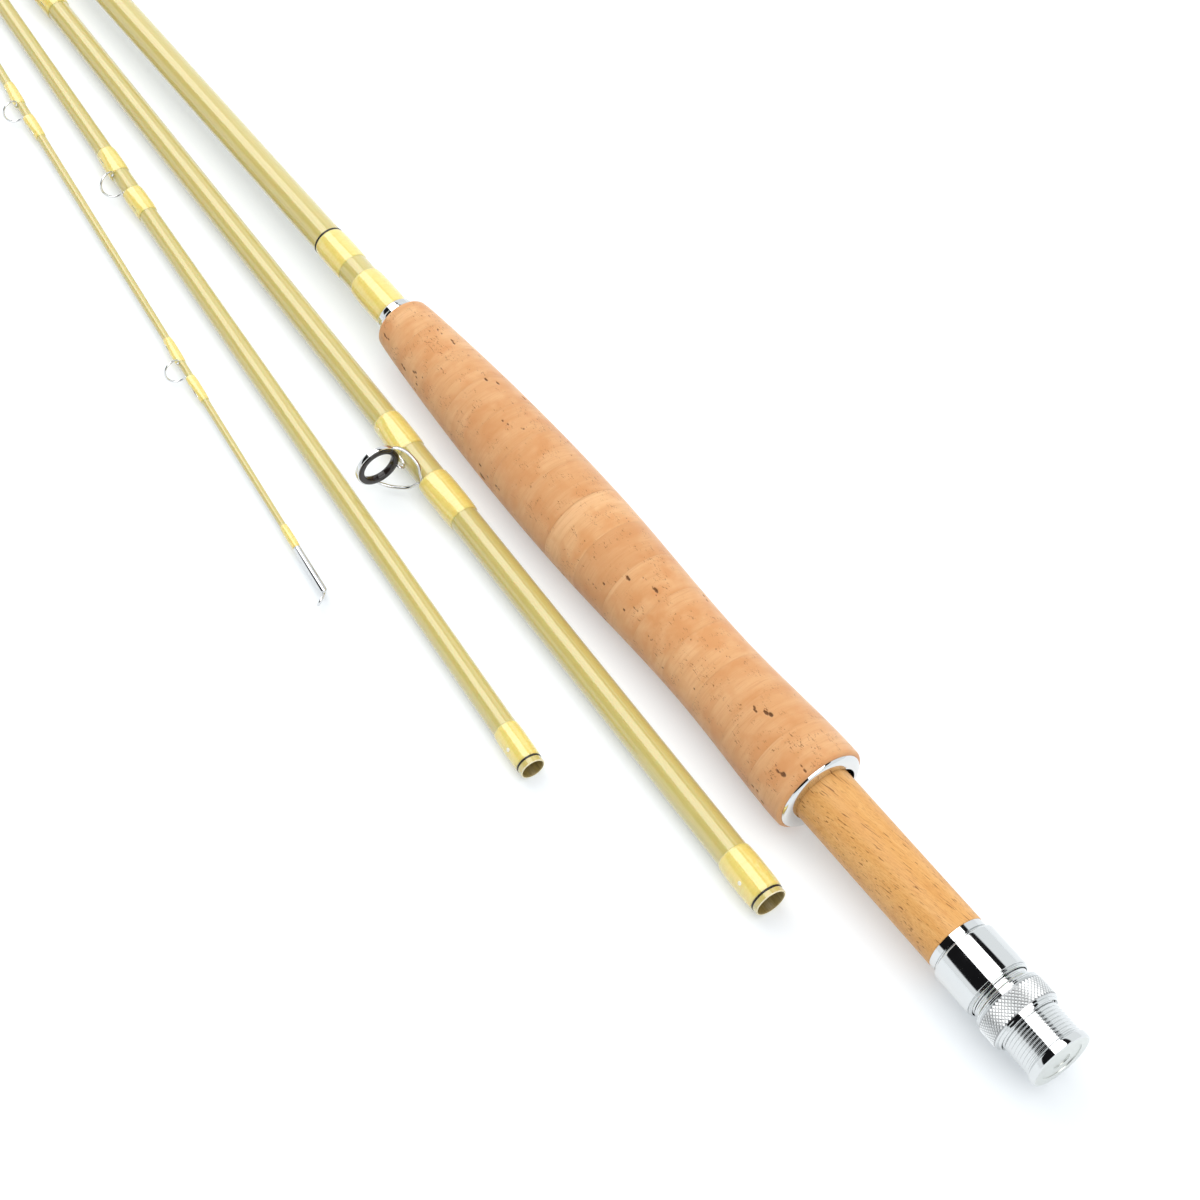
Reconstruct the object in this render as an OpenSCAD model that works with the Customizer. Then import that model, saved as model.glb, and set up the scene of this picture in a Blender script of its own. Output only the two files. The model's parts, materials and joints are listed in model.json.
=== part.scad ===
// Four-piece glass-fibre fly rod, taken apart, its sections lying side by side on a table.
// All lengths are in millimetres and all angles in degrees.
// +X runs from the butt cap towards the tip along the butt section, +Z is up, the table is z = 0.

/* [Sections] */
// Length of each of the four sections
section_length = 567.25; // [540:0.25:600]
// Length of the joint between butt and lower middle section
lower_joint_length = 50; // [45:1:55]
// Length of the joint between the two middle sections
upper_joint_length = 45; // [40:1:50]
// Length of the joint between upper middle and tip section
tip_joint_length = 40; // [35:1:45]
// Radial running clearance of a joint
joint_clearance = 0.04; // [0.02:0.01:0.08]

/* [Layout] */
// Distance from the butt cap to the lower middle section's open end, along X
lower_mid_start = 76.06; // [70:0.01:85]
// Side offset of the lower middle section's open end
lower_mid_side = 26.42; // [26:0.01:30]
// Fan angle of the lower middle section
lower_mid_heading = -2.0; // [-2.1:0.05:-1.8]
// Distance from the butt cap to the upper middle section's open end, along X
upper_mid_start = 142.8; // [140:0.1:146]
// Side offset of the upper middle section's open end
upper_mid_side = 51.48; // [51:0.01:54]
// Fan angle of the upper middle section
upper_mid_heading = -4.45; // [-4.5:0.05:-4.3]
// Distance from the butt cap to the tip-top's tube, along X
tip_start = 238.27; // [230:0.01:245]
// Side offset of the tip-top's tube
tip_side = 63.06; // [63:0.01:66]
// Fan angle of the tip section, which lies the other way round
tip_heading = -6.1; // [-6.2:0.05:-6]
// How far above the table's plane the line guides point
guide_rise = 27; // [20:1:40]

/* [Blanks] */
// Radius of the butt blank at the butt cap
butt_radius = 5.2; // [5:0.05:5.3]
// Radius of the butt blank in front of the grip
grip_front_radius = 4.85; // [4.7:0.05:5]
// Radius of the butt blank where its male end starts
butt_end_radius = 4.1; // [4:0.05:4.3]
// Radius of the butt section's male end
butt_male_radius = 3.77; // [3.6:0.01:3.9]
// Outer radius of the lower middle blank at its open end
lower_mid_radius = 4.5; // [4.4:0.05:4.6]
// Radius of the lower middle blank where its male end starts
lower_mid_end_radius = 3.15; // [3.1:0.05:3.3]
// Radius of the lower middle section's male end
lower_mid_male_radius = 2.77; // [2.7:0.01:2.85]
// Outer radius of the upper middle blank at its open end
upper_mid_radius = 3.45; // [3.4:0.05:3.55]
// Radius of the upper middle blank where its male end starts
upper_mid_end_radius = 2.0; // [1.95:0.05:2.1]
// Radius of the upper middle section's male end
upper_mid_male_radius = 1.75; // [1.7:0.01:1.8]
// Outer radius of the tip blank at its open end
tip_butt_radius = 2.4; // [2.35:0.05:2.5]
// Radius of the tip blank inside the tip-top
tip_end_radius = 0.9; // [0.85:0.05:0.95]
// Wall of the blanks away from their joints
blank_wall = 1.05; // [0.9:0.05:1.1]

/* [Grip] */
// Number of cork rings
cork_rings = 15; // [15:1:15]
// Length of one cork ring
cork_ring_length = 12.7; // [12:0.1:13]
// Radius of the grip at its front end
cork_front_radius = 8.3; // [8:0.1:8.6]
// Radius at the swell under the palm
cork_swell_radius = 12.85; // [12.5:0.05:13]
// Radius at the waist
cork_waist_radius = 11.6; // [11.4:0.05:12]
// Radius at the rear flare
cork_flare_radius = 13.4; // [13.2:0.05:13.6]
// Edge rounding at both ends of the grip
cork_edge = 1.3; // [1:0.1:1.5]

/* [Reel seat] */
// Distance from the butt cap's face to the rear end of the cork
seat_length = 90.65; // [90:0.05:92]
// Radius of the wooden insert
insert_radius = 8.3; // [8.2:0.05:8.35]
// Length of the metal barrel from the butt cap's face
barrel_length = 38.4; // [38:0.1:40]
// Radius over the thread crests
thread_radius = 8.2; // [8.1:0.05:8.25]
// Pitch of the thread
thread_pitch = 1.0; // [1:0.1:1]
// Depth of the thread
thread_depth = 0.32; // [0.2:0.02:0.4]
// Outer radius of the sliding hood
hood_radius = 9.2; // [9.1:0.05:9.4]
// Length of the sliding hood
hood_length = 13.3; // [12:0.1:15]
// Rest distance from the butt cap's face to the sliding hood
hood_rest = 22.34; // [22.2:0.02:23]
// Outer radius of the lock nut
nut_radius = 9.75; // [9.6:0.05:9.9]
// Length of the lock nut
nut_length = 8.25; // [8:0.05:8.4]
// Rest distance from the butt cap's face to the lock nut
nut_rest = 11.55; // [11:0.05:11.7]
// Radius of the butt cap
cap_radius = 8.75; // [8.6:0.05:8.9]
// Thickness of the butt cap's flange
cap_flange = 2.2; // [2:0.1:2.4]
// Angle of the reel foot's side, seen from the butt, from +Y towards +Z
reel_side = 211; // [205:1:220]
// How far the fixed hood's pocket is off centre
pocket_offset = 2.0; // [1.8:0.1:2.2]

/* [Guides] */
// Distance of the stripping guide's ring from the open end
stripper_station = 167; // [166:0.5:168]
// Height of the stripping ring's centre above the blank's axis
stripper_height = 13.9; // [13.5:0.1:14.2]
// Outer radius of the ceramic ring
ring_outer_radius = 6.25; // [6.1:0.05:6.4]
// Inner radius of the ceramic ring
ring_inner_radius = 4.55; // [4.4:0.05:4.7]
// Width of the ceramic ring along the rod
ring_width = 2.0; // [1.8:0.1:2.2]
// Distance of the lower middle snake guide from the open end
lower_snake_station = 400; // [395:1:405]
// Distances of the upper middle snake guides from the open end
upper_snake_stations = [241, 420];
// Distances of the tip section's snake guides from the tip-top's tube
tip_snake_stations = [72.4, 192, 318, 453];
// Length of the tip-top's tube
tip_tube_length = 17; // [16:0.5:18]
// Outer radius of the tip-top's tube
tip_tube_radius = 1.25; // [1.2:0.05:1.3]

/* [Hidden] */

$fn = 96;
BLANK_COLOUR = "#c9bf72";
WRAP_COLOUR = "#e3cf5a";
TRIM_COLOUR = "#1c1a18";
CORK_COLOUR = "#d6a877";
WOOD_COLOUR = "#d99a4e";
CHROME_COLOUR = "#cfd2d4";
CERAMIC_COLOUR = "#2a2422";
NYLON_COLOUR = "#e8e6de";
TAPE_COLOUR = "#d9cda8";

// Heights of the section axes: each section rests on its own thickest ring.
butt_height = cork_flare_radius;
lower_mid_height = 5.3;
upper_mid_height = 3.85;
tip_height = 2.95;

// The cork grip, measured from its front end
grip_length = cork_rings * cork_ring_length;
grip_front = seat_length + grip_length;
SWELL_PLACE = 88;
WAIST_PLACE = 143;
FRONT_POWER = 0.85;

// The wraps in front of the grip
check_length = 4.05;
grip_wrap_start = grip_front + check_length;
grip_wrap_end = grip_wrap_start + 15.2;
label_wrap_start = grip_wrap_end + 6.3;
label_wrap_end = label_wrap_start + 12.6;
label_trim_length = 0.7;

// The reel seat's inner sizes
barrel_bore = 6.6;
insert_bore = 5.75;
tenon_end = 8;
channel_floor = 6.8;
cup_radius = 11.0;
cup_end = seat_length + 12.4;
pocket_end = seat_length + 11;
hood_face = seat_length - 1.2;
hood_bore = 8.45;
nut_bore = thread_radius + 0.08;
washer_length = 1.4;

// The tip section's own stations, measured from its open end
tip_tube_start = section_length - 22;
wire_radius = 0.25;
snake_wire_radius = 0.28;

// The bounding box's centre lies at the origin, to within a few millimetres.
origin_x = (tip_start + (tip_tube_start) * cos(tip_heading)) / 2;
origin_y = (tip_side + 6 - cork_flare_radius) / 2;

// ---------- general shapes ----------

// A shape turned about the rod's axis, from a closed outline of [radius, station] points.
module turned(outline) rotate([0, 90, 0]) rotate_extrude() polygon(outline);

// A plain ring from station a to station b.
module ring(a, b, inner, outer) turned([[inner, a], [outer, a], [outer, b], [inner, b]]);

// Radius of a straight taper at a station.
function taper(x, xa, ra, xb, rb) = ra + (rb - ra) * (x - xa) / (xb - xa);

// A thread wrap under varnish, domed towards its middle and following the blank inside.
GLUE_GAP = 0.01;
WRAP_STEPS = 12;
function dome(i, rise) = rise * (0.15 + 0.85 * (1 - pow(abs(2 * i / WRAP_STEPS - 1), 3)));
function wrap_top(xa, ra, xb, rb, rise) = [
    for (i = [0 : WRAP_STEPS])
        [ra + (rb - ra) * i / WRAP_STEPS + dome(i, rise), xa + (xb - xa) * i / WRAP_STEPS]
];
module wrap(xa, ra, xb, rb, rise)
    turned(concat([[rb + GLUE_GAP, xb], [ra + GLUE_GAP, xa]], wrap_top(xa, ra, xb, rb, rise)));

// A round wire swept along a list of points.
WIRE_SIDES = 8;
function unit(v) = v / norm(v);
function heading_at(p, i) = unit(p[min(i + 1, len(p) - 1)] - p[max(i - 1, 0)]);
function side_at(p, i, up) = unit(cross(up, heading_at(p, i)));
function wire_ring(p, i, r, up, flat) =
    let (s = side_at(p, i, up))
    let (n = cross(heading_at(p, i), s))
    [for (k = [0 : WIRE_SIDES - 1])
        p[i] + r * (cos(360 * k / WIRE_SIDES) * s + flat * sin(360 * k / WIRE_SIDES) * n)];
module wire(p, r, up, flat = 1) {
    last = (len(p) - 1) * WIRE_SIDES;
    polyhedron(
        points = [for (i = [0 : len(p) - 1]) each wire_ring(p, i, r, up, flat)],
        faces = concat(
            [[for (k = [0 : WIRE_SIDES - 1]) k]],
            [[for (k = [WIRE_SIDES - 1 : -1 : 0]) last + k]],
            [for (i = [0 : len(p) - 2], k = [0 : WIRE_SIDES - 1])
                let (n = (k + 1) % WIRE_SIDES)
                [i * WIRE_SIDES + n, i * WIRE_SIDES + k, (i + 1) * WIRE_SIDES + k, (i + 1) * WIRE_SIDES + n]]
        )
    );
}

// A closed wire loop.
module closed_wire(p, r, up) {
    count = len(p);
    rings = [for (i = [0 : count - 1])
        let (h = unit(p[(i + 1) % count] - p[(i + count - 1) % count]))
        let (s = unit(cross(up, h)))
        let (n = cross(h, s))
        [for (k = [0 : WIRE_SIDES - 1])
            p[i] + r * (cos(360 * k / WIRE_SIDES) * s + sin(360 * k / WIRE_SIDES) * n)]];
    polyhedron(
        points = [for (q = rings) each q],
        faces = [for (i = [0 : count - 1], k = [0 : WIRE_SIDES - 1])
            let (n = (k + 1) % WIRE_SIDES)
            let (j = (i + 1) % count)
            [i * WIRE_SIDES + n, i * WIRE_SIDES + k, j * WIRE_SIDES + k, j * WIRE_SIDES + n]]
    );
}

// ---------- where each section lies ----------

module in_frame() translate([-origin_x, -origin_y, 0]) children();
module on_butt() in_frame() translate([0, 0, butt_height]) children();
module on_lower_mid()
    in_frame() translate([lower_mid_start, lower_mid_side, lower_mid_height])
        rotate([0, 0, lower_mid_heading]) children();
module on_upper_mid()
    in_frame() translate([upper_mid_start, upper_mid_side, upper_mid_height])
        rotate([0, 0, upper_mid_heading]) children();
// The tip section points back towards the butt; its origin is its own open end.
module on_tip()
    in_frame() translate([tip_start, tip_side, tip_height])
        rotate([0, 0, 180 + tip_heading]) translate([-tip_tube_start, 0, 0]) children();
// Guides stand along local +Z before they are rolled to the side they point to.
module rolled(angle) rotate([angle - 90, 0, 0]) children();

// ---------- blanks ----------

// Outer radius of each loose section's blank at a distance from its open end
RIM_EDGE = 0.2;
TAPER_END = 2;
function lower_blank(x) =
    taper(x, RIM_EDGE, lower_mid_radius,
        section_length - upper_joint_length - TAPER_END, lower_mid_end_radius);
function upper_blank(x) =
    taper(x, RIM_EDGE, upper_mid_radius,
        section_length - tip_joint_length - TAPER_END, upper_mid_end_radius);
function thin_blank(x) = taper(x, RIM_EDGE, tip_butt_radius, tip_tube_start, tip_end_radius);

// A tapered tube with a socket in its open end and a ground male end.
module tube_blank(ra, rb, socket_r, socket_depth, male_r, male_length, inner_a, inner_b) {
    male_start = section_length - male_length;
    turned([
        [socket_r, 0], [ra - 0.1, 0], [ra, RIM_EDGE], [rb, male_start - TAPER_END], [male_r, male_start],
        [male_r, section_length - 0.4], [male_r - 0.3, section_length], [inner_b, section_length],
        [inner_a, socket_depth + 1.5], [socket_r, socket_depth]
    ]);
}

BLANK_START = 2.6;
module butt_blank() color(BLANK_COLOUR) on_butt() {
    male_start = section_length - lower_joint_length;
    turned([
        [butt_radius - blank_wall, BLANK_START], [butt_radius, BLANK_START],
        [grip_front_radius, grip_front], [butt_end_radius, male_start - TAPER_END],
        [butt_male_radius, male_start], [butt_male_radius, section_length - 0.4],
        [butt_male_radius - 0.3, section_length], [butt_male_radius - blank_wall, section_length]
    ]);
}

module lower_mid_blank() color(BLANK_COLOUR) on_lower_mid()
    tube_blank(lower_mid_radius, lower_mid_end_radius, butt_male_radius + joint_clearance,
        lower_joint_length + 1, lower_mid_male_radius, upper_joint_length, 3.0,
        lower_mid_male_radius - 0.85);

module upper_mid_blank() color(BLANK_COLOUR) on_upper_mid()
    tube_blank(upper_mid_radius, upper_mid_end_radius, lower_mid_male_radius + joint_clearance,
        upper_joint_length + 1, upper_mid_male_radius, tip_joint_length, 2.0,
        upper_mid_male_radius - 0.75);

module tip_blank() color(BLANK_COLOUR) on_tip() {
    socket_r = upper_mid_male_radius + joint_clearance;
    tube_fit = tip_tube_start + 9;
    turned([
        [socket_r, 0], [tip_butt_radius - 0.1, 0], [tip_butt_radius, RIM_EDGE],
        [tip_end_radius, tip_tube_start], [tip_end_radius, tube_fit], [0.35, tube_fit],
        [1.15, tip_joint_length + 2.5], [socket_r, tip_joint_length + 1]
    ]);
}

// ---------- grip ----------

// Radius of the grip at a distance from its front end: a swell, a waist and a rear flare.
function half_wave(t) = (1 - cos(180 * t)) / 2;
function grip_body(u) =
    u < SWELL_PLACE
        ? cork_front_radius
            + (cork_swell_radius - cork_front_radius) * pow(sin(90 * u / SWELL_PLACE), FRONT_POWER)
    : u < WAIST_PLACE
        ? cork_swell_radius
            - (cork_swell_radius - cork_waist_radius)
            * half_wave((u - SWELL_PLACE) / (WAIST_PLACE - SWELL_PLACE))
        : cork_waist_radius
            + (cork_flare_radius - cork_waist_radius)
            * half_wave((u - WAIST_PLACE) / (grip_length - WAIST_PLACE));
function edge_drop(d) = d >= cork_edge ? 0 : cork_edge - sqrt(cork_edge * cork_edge - pow(cork_edge - d, 2));
function grip_radius(u) = grip_body(u) - edge_drop(u) - edge_drop(grip_length - u);

// Stations inside one ring, closer together where the grip's ends are rounded.
function ring_stations(k) =
    let (a = (k - 1) * cork_ring_length)
    let (b = k * cork_ring_length)
    concat(
        k == 1 ? [for (i = [0 : 4]) cork_edge * (1 - cos(18 * i))] : [a],
        [a + cork_ring_length / 4, a + cork_ring_length / 2, b - cork_ring_length / 4],
        k == cork_rings ? [for (i = [4 : -1 : 0]) grip_length - cork_edge * (1 - cos(18 * i))] : [b]
    );

function blank_radius_at(x) =
    taper(x, BLANK_START, butt_radius, grip_front, grip_front_radius) + GLUE_GAP;

// Ring 1 is at the front of the grip; the last ring holds the fixed hood's cup.
module cork_ring(k) color(CORK_COLOUR) on_butt() {
    rear = grip_front - k * cork_ring_length;
    front = rear + cork_ring_length;
    us = ring_stations(k);
    outer = [for (u = us) [grip_radius(u), grip_front - u]];
    rear_bore = k == cork_rings ? cup_radius : blank_radius_at(rear);
    front_bore = k == cork_rings ? cup_radius : blank_radius_at(front);
    turned(concat([[rear_bore, rear], [front_bore, front]], outer));
}

module winding_check() color(CHROME_COLOUR) on_butt()
    turned([
        [blank_radius_at(grip_front), grip_front], [6.6, grip_front], [6.6, grip_front + 1.1],
        [6.2, grip_front + 1.6], [5.95, grip_front + 1.9], [5.9, grip_front + 3.6],
        [5.6, grip_front + check_length], [grip_front_radius + GLUE_GAP, grip_front + check_length]
    ]);

function front_blank(x) =
    taper(x, grip_front, grip_front_radius,
        section_length - lower_joint_length - TAPER_END, butt_end_radius);

module grip_wrap() color(WRAP_COLOUR) on_butt()
    wrap(grip_wrap_start, front_blank(grip_wrap_start), grip_wrap_end, front_blank(grip_wrap_end), 0.5);

module label_wrap() color(WRAP_COLOUR) on_butt()
    wrap(label_wrap_start, front_blank(label_wrap_start), label_wrap_end, front_blank(label_wrap_end),
        0.28);

module label_trim() color(TRIM_COLOUR) on_butt()
    ring(label_wrap_end, label_wrap_end + label_trim_length,
        front_blank(label_wrap_end) + GLUE_GAP, front_blank(label_wrap_end) + 0.14);

// ---------- reel seat ----------

// Moves a shape sideways, towards the side that the reel's foot sits on.
module towards_reel(distance)
    translate([0, distance * cos(reel_side), distance * sin(reel_side)]) children();

// The cup set into the grip; its pocket is off centre and takes the front of a reel's foot.
module fixed_hood() color(CHROME_COLOUR) on_butt() difference() {
    turned([
        [insert_radius + GLUE_GAP, hood_face], [11.3, hood_face], [12.3, seat_length - GLUE_GAP],
        [cup_radius - GLUE_GAP, seat_length - GLUE_GAP], [cup_radius - GLUE_GAP, cup_end],
        [insert_radius + GLUE_GAP, cup_end]
    ]);
    towards_reel(pocket_offset) ring(hood_face - 1, pocket_end, 0, insert_radius);
}

// The wooden insert, with a flat for the reel's foot and a tenon inside the metal barrel.
module seat_insert() color(WOOD_COLOUR) on_butt() difference() {
    turned([
        [insert_bore, tenon_end], [barrel_bore - GLUE_GAP, tenon_end],
        [barrel_bore - GLUE_GAP, barrel_length + GLUE_GAP],
        [insert_radius, barrel_length + GLUE_GAP], [insert_radius, cup_end], [insert_bore, cup_end]
    ]);
    rotate([reel_side - 90, 0, 0])
        translate([barrel_length + 8, -insert_radius, channel_floor])
            cube([cup_end - barrel_length, 2 * insert_radius, insert_radius]);
}

ARBOR_STATIONS = [14, 50, 84];
ARBOR_LENGTH = 9;
module seat_arbors() color(TAPE_COLOUR) on_butt()
    for (x = ARBOR_STATIONS)
        turned([
            [blank_radius_at(x), x], [insert_bore - GLUE_GAP, x],
            [insert_bore - GLUE_GAP, x + ARBOR_LENGTH],
            [blank_radius_at(x + ARBOR_LENGTH), x + ARBOR_LENGTH]
        ]);

// The barrel's thread is cut as rings of the thread's own pitch and depth.
THREAD_START = 2.9;
COLLAR_LENGTH = 1.9;
thread_count = floor((barrel_length - COLLAR_LENGTH - THREAD_START) / thread_pitch);
module thread_barrel() color(CHROME_COLOUR) on_butt()
    turned(concat(
        [[barrel_bore, cap_flange + GLUE_GAP], [thread_radius - thread_depth, cap_flange + GLUE_GAP]],
        [for (i = [0 : thread_count - 1], side = [0, 1, 2])
            [thread_radius - (side == 1 ? 0 : thread_depth),
                THREAD_START + (i + side * 0.45) * thread_pitch]],
        [[thread_radius, barrel_length - COLLAR_LENGTH], [thread_radius, barrel_length],
            [barrel_bore, barrel_length]]
    ));

// The cap closes the barrel; its face carries a plain turned recess.
module butt_cap() color(CHROME_COLOUR) on_butt()
    turned([
        [0, 0.5], [2.6, 0.5], [2.8, 0.25], [5.9, 0.25], [6.2, 0], [cap_radius - 0.45, 0],
        [cap_radius, 0.45], [cap_radius, cap_flange - 0.3], [cap_radius - 0.3, cap_flange],
        [barrel_bore - GLUE_GAP, cap_flange], [barrel_bore - GLUE_GAP, tenon_end - 1],
        [butt_radius + 0.1, tenon_end - 1],
        [butt_radius + 0.1, 2.5], [0, 2.5]
    ]);

// The loose hood that slides over the barrel and the insert.
module sliding_hood() color(CHROME_COLOUR) on_butt() translate([hood_rest, 0, 0])
    turned([
        [hood_bore, 0], [hood_radius - 0.45, 0], [hood_radius - 0.1, 0.9], [hood_radius - 0.35, 1.3],
        [hood_radius - 0.35, 1.6], [hood_radius, 1.9], [hood_radius, hood_length - 0.8],
        [hood_radius - 0.2, hood_length - 0.25], [hood_radius - 0.5, hood_length],
        [hood_bore, hood_length]
    ]);

washer_pocket = 9.05;
module slip_washer() color(NYLON_COLOUR) on_butt() translate([nut_rest + nut_length, 0, 0])
    ring(-washer_length, 0, nut_bore, washer_pocket - 0.05);

// The nut that holds the sliding hood against a reel's foot; its thread is left plain inside.
module lock_nut() color(CHROME_COLOUR) on_butt() translate([nut_rest, 0, 0])
    turned([
        [nut_bore, 0], [nut_radius - 0.9, 0], [nut_radius - 0.35, 0.6], [nut_radius, 1.3],
        [nut_radius, nut_length - 1.4], [washer_pocket + 0.15, nut_length],
        [washer_pocket, nut_length], [washer_pocket, nut_length - washer_length - 0.05],
        [nut_bore, nut_length - washer_length - 0.05]
    ]);

// ---------- joint wraps ----------

// The thread wrap and thin dark trim that keep an open end from splitting.
module joint_trim(r, start, length) color(TRIM_COLOUR)
    ring(start, start + length, r + GLUE_GAP, r + 0.12);

module lower_mid_joint_wrap() color(WRAP_COLOUR) on_lower_mid()
    wrap(2.1, lower_blank(2.1), 16.2, lower_blank(16.2), 0.75);
module lower_mid_joint_trim() on_lower_mid() joint_trim(lower_mid_radius, 1.5, 0.6);
module upper_mid_joint_wrap() color(WRAP_COLOUR) on_upper_mid()
    wrap(2.3, upper_blank(2.3), 14, upper_blank(14), 0.4);
module upper_mid_joint_trim() on_upper_mid() joint_trim(upper_mid_radius, 1.7, 0.6);
module tip_joint_wrap() color(WRAP_COLOUR) on_tip() wrap(2, thin_blank(2), 12, thin_blank(12), 0.35);
module tip_joint_trim() on_tip() joint_trim(tip_butt_radius, 1.5, 0.5);

// ---------- stripping guide ----------

STRIPPER_WRAPS = [[142.3, 158.4, 0.75], [170, 183.4, 0.6]];
ring_holder_radius = ring_outer_radius + 0.35;
foot_height = 4.65;

module stripping_guide_wraps() color(WRAP_COLOUR) on_lower_mid()
    for (w = STRIPPER_WRAPS)
        wrap(w[0], lower_blank(w[0]), w[1], lower_blank(w[1]), w[2]);

module stripping_guide_ring() color(CERAMIC_COLOUR) on_lower_mid() rolled(guide_rise)
    translate([0, 0, stripper_height])
        turned([
            [ring_inner_radius + 0.45, stripper_station - ring_width / 2],
            [ring_outer_radius - 0.3, stripper_station - ring_width / 2],
            [ring_outer_radius, stripper_station - ring_width / 2 + 0.35],
            [ring_outer_radius, stripper_station + ring_width / 2 - 0.35],
            [ring_outer_radius - 0.3, stripper_station + ring_width / 2],
            [ring_inner_radius + 0.45, stripper_station + ring_width / 2],
            [ring_inner_radius, stripper_station + ring_width / 2 - 0.6],
            [ring_inner_radius, stripper_station - ring_width / 2 + 0.6]
        ]);

// Half of the wire yoke that runs from the ring's side down to the foot on the butt side.
function yoke(side) = [
    [stripper_station - 0.1, side * 6.75, stripper_height - 0.8],
    [stripper_station - 2.2, side * 6.75, stripper_height - 2],
    [stripper_station - 5, side * 6.3, stripper_height - 4.1],
    [stripper_station - 7.2, side * 5, stripper_height - 6.3],
    [stripper_station - 8.6, side * 3, stripper_height - 8.1],
    [stripper_station - 9.6, side * 1, foot_height + 0.25],
    [stripper_station - 11, side * 0.45, foot_height],
    [stripper_station - 21, side * 0.3, foot_height]
];
STRUT = [
    [stripper_station + 0.2, 0, stripper_height - ring_holder_radius - 0.1],
    [stripper_station + 0.9, 0, stripper_height - ring_holder_radius - 1],
    [stripper_station + 1.8, 0, foot_height + 0.8],
    [stripper_station + 3.2, 0, foot_height],
    [stripper_station + 14, 0, foot_height - 0.05]
];
module stripping_guide_frame() color(CHROME_COLOUR) on_lower_mid() rolled(guide_rise) {
    translate([0, 0, stripper_height])
        ring(stripper_station - 0.6, stripper_station + 0.6, ring_outer_radius, ring_holder_radius);
    for (side = [-1, 1])
        wire(yoke(side), 0.5, [0, 0, 1], 0.7);
    wire(STRUT, 0.5, [0, 1, 0], 0.8);
}

// ---------- snake guides ----------

// One turn of wire between two feet; the line runs through the turn.
SNAKE_STEPS = 28;
function snake_turn(span, loop, base) = [
    for (i = [0 : SNAKE_STEPS])
        let (a = 360 * i / SNAKE_STEPS)
        [span * (i / SNAKE_STEPS - 0.5), loop * sin(a), base + loop * (1 - cos(a))]
];
module snake(station, span, loop, foot, blank_r, thick)
    translate([station, 0, 0])
        wire(concat(
            [[-span / 2 - foot, 0, blank_r + thick], [-span / 2 - 1, 0, blank_r + thick]],
            snake_turn(span, loop, blank_r + thick),
            [[span / 2 + 1, 0, blank_r + thick], [span / 2 + foot, 0, blank_r + thick]]
        ), thick, [1, 0.3, 0.2]);

// The two wraps that hold a snake guide's feet; radii is the blank's radius as a function.
lower_radii = function(x) lower_blank(x);
upper_radii = function(x) upper_blank(x);
thin_radii = function(x) thin_blank(x);
module snake_wraps(station, span, foot, radii, rise)
    for (side = [-1, 1]) {
        near = station + side * (span / 2 + 0.2);
        far = station + side * (span / 2 + foot + 2);
        wrap(min(near, far), radii(min(near, far)), max(near, far), radii(max(near, far)), rise);
    }

LOWER_SNAKE = [9, 3.1, 9];
UPPER_SNAKE = [8, 2.9, 9];
TIP_SNAKE = [5.5, 2.7, 8.5];
tip_stations = [for (d = tip_snake_stations) tip_tube_start - d];

module lower_mid_snake() color(CHROME_COLOUR) on_lower_mid() rolled(guide_rise)
    snake(lower_snake_station, LOWER_SNAKE[0], LOWER_SNAKE[1], LOWER_SNAKE[2],
        lower_blank(lower_snake_station) + 0.05, 0.36);
module lower_mid_snake_wraps() color(WRAP_COLOUR) on_lower_mid()
    snake_wraps(lower_snake_station, LOWER_SNAKE[0], LOWER_SNAKE[2], lower_radii, 0.8);

module upper_mid_snake(i) color(CHROME_COLOUR) on_upper_mid() rolled(guide_rise)
    snake(upper_snake_stations[i], UPPER_SNAKE[0], UPPER_SNAKE[1], UPPER_SNAKE[2],
        upper_blank(upper_snake_stations[i]) + 0.05, snake_wire_radius);
module upper_mid_snake_wraps() color(WRAP_COLOUR) on_upper_mid()
    for (x = upper_snake_stations)
        snake_wraps(x, UPPER_SNAKE[0], UPPER_SNAKE[2], upper_radii, 0.65);

module tip_snake(i) color(CHROME_COLOUR) on_tip() rolled(180 - guide_rise)
    snake(tip_stations[i], TIP_SNAKE[0], TIP_SNAKE[1], TIP_SNAKE[2],
        thin_blank(tip_stations[i]) + 0.05, wire_radius);
module tip_snake_wraps() color(WRAP_COLOUR) on_tip()
    for (x = tip_stations)
        snake_wraps(x, TIP_SNAKE[0], TIP_SNAKE[2], thin_radii, 0.55);

// ---------- tip-top ----------

module tip_top_tube() color(CHROME_COLOUR) on_tip()
    turned([
        [tip_end_radius, tip_tube_start], [tip_tube_radius - 0.15, tip_tube_start],
        [tip_tube_radius, tip_tube_start + 0.2],
        [tip_tube_radius, tip_tube_start + tip_tube_length - 0.8],
        [tip_tube_radius - 0.6, tip_tube_start + tip_tube_length],
        [0, tip_tube_start + tip_tube_length], [0, tip_tube_start + 9], [tip_end_radius, tip_tube_start + 9]
    ]);

// A pear-shaped wire loop that leans out from the end of the tube.
LOOP_STEPS = 32;
LOOP_LENGTH = 5.2;
LOOP_WIDTH = 3.2;
LOOP_LEAN = 48;
loop_points = [
    for (i = [0 : LOOP_STEPS - 1])
        let (a = 360 * i / LOOP_STEPS)
        let (along = LOOP_LENGTH * (1 - cos(a)) / 2)
        let (across = LOOP_WIDTH / 2 * sin(a) * (0.55 + 0.45 * (1 - cos(a)) / 2) * 1.15)
        [along * cos(LOOP_LEAN), across, along * sin(LOOP_LEAN)]
];
module tip_top_loop() color(CHROME_COLOUR) on_tip() rolled(180 - guide_rise)
    translate([tip_tube_start + tip_tube_length + 0.1, 0, -0.2])
        closed_wire(loop_points, 0.36, unit([-sin(LOOP_LEAN), 0, cos(LOOP_LEAN)]));

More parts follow.
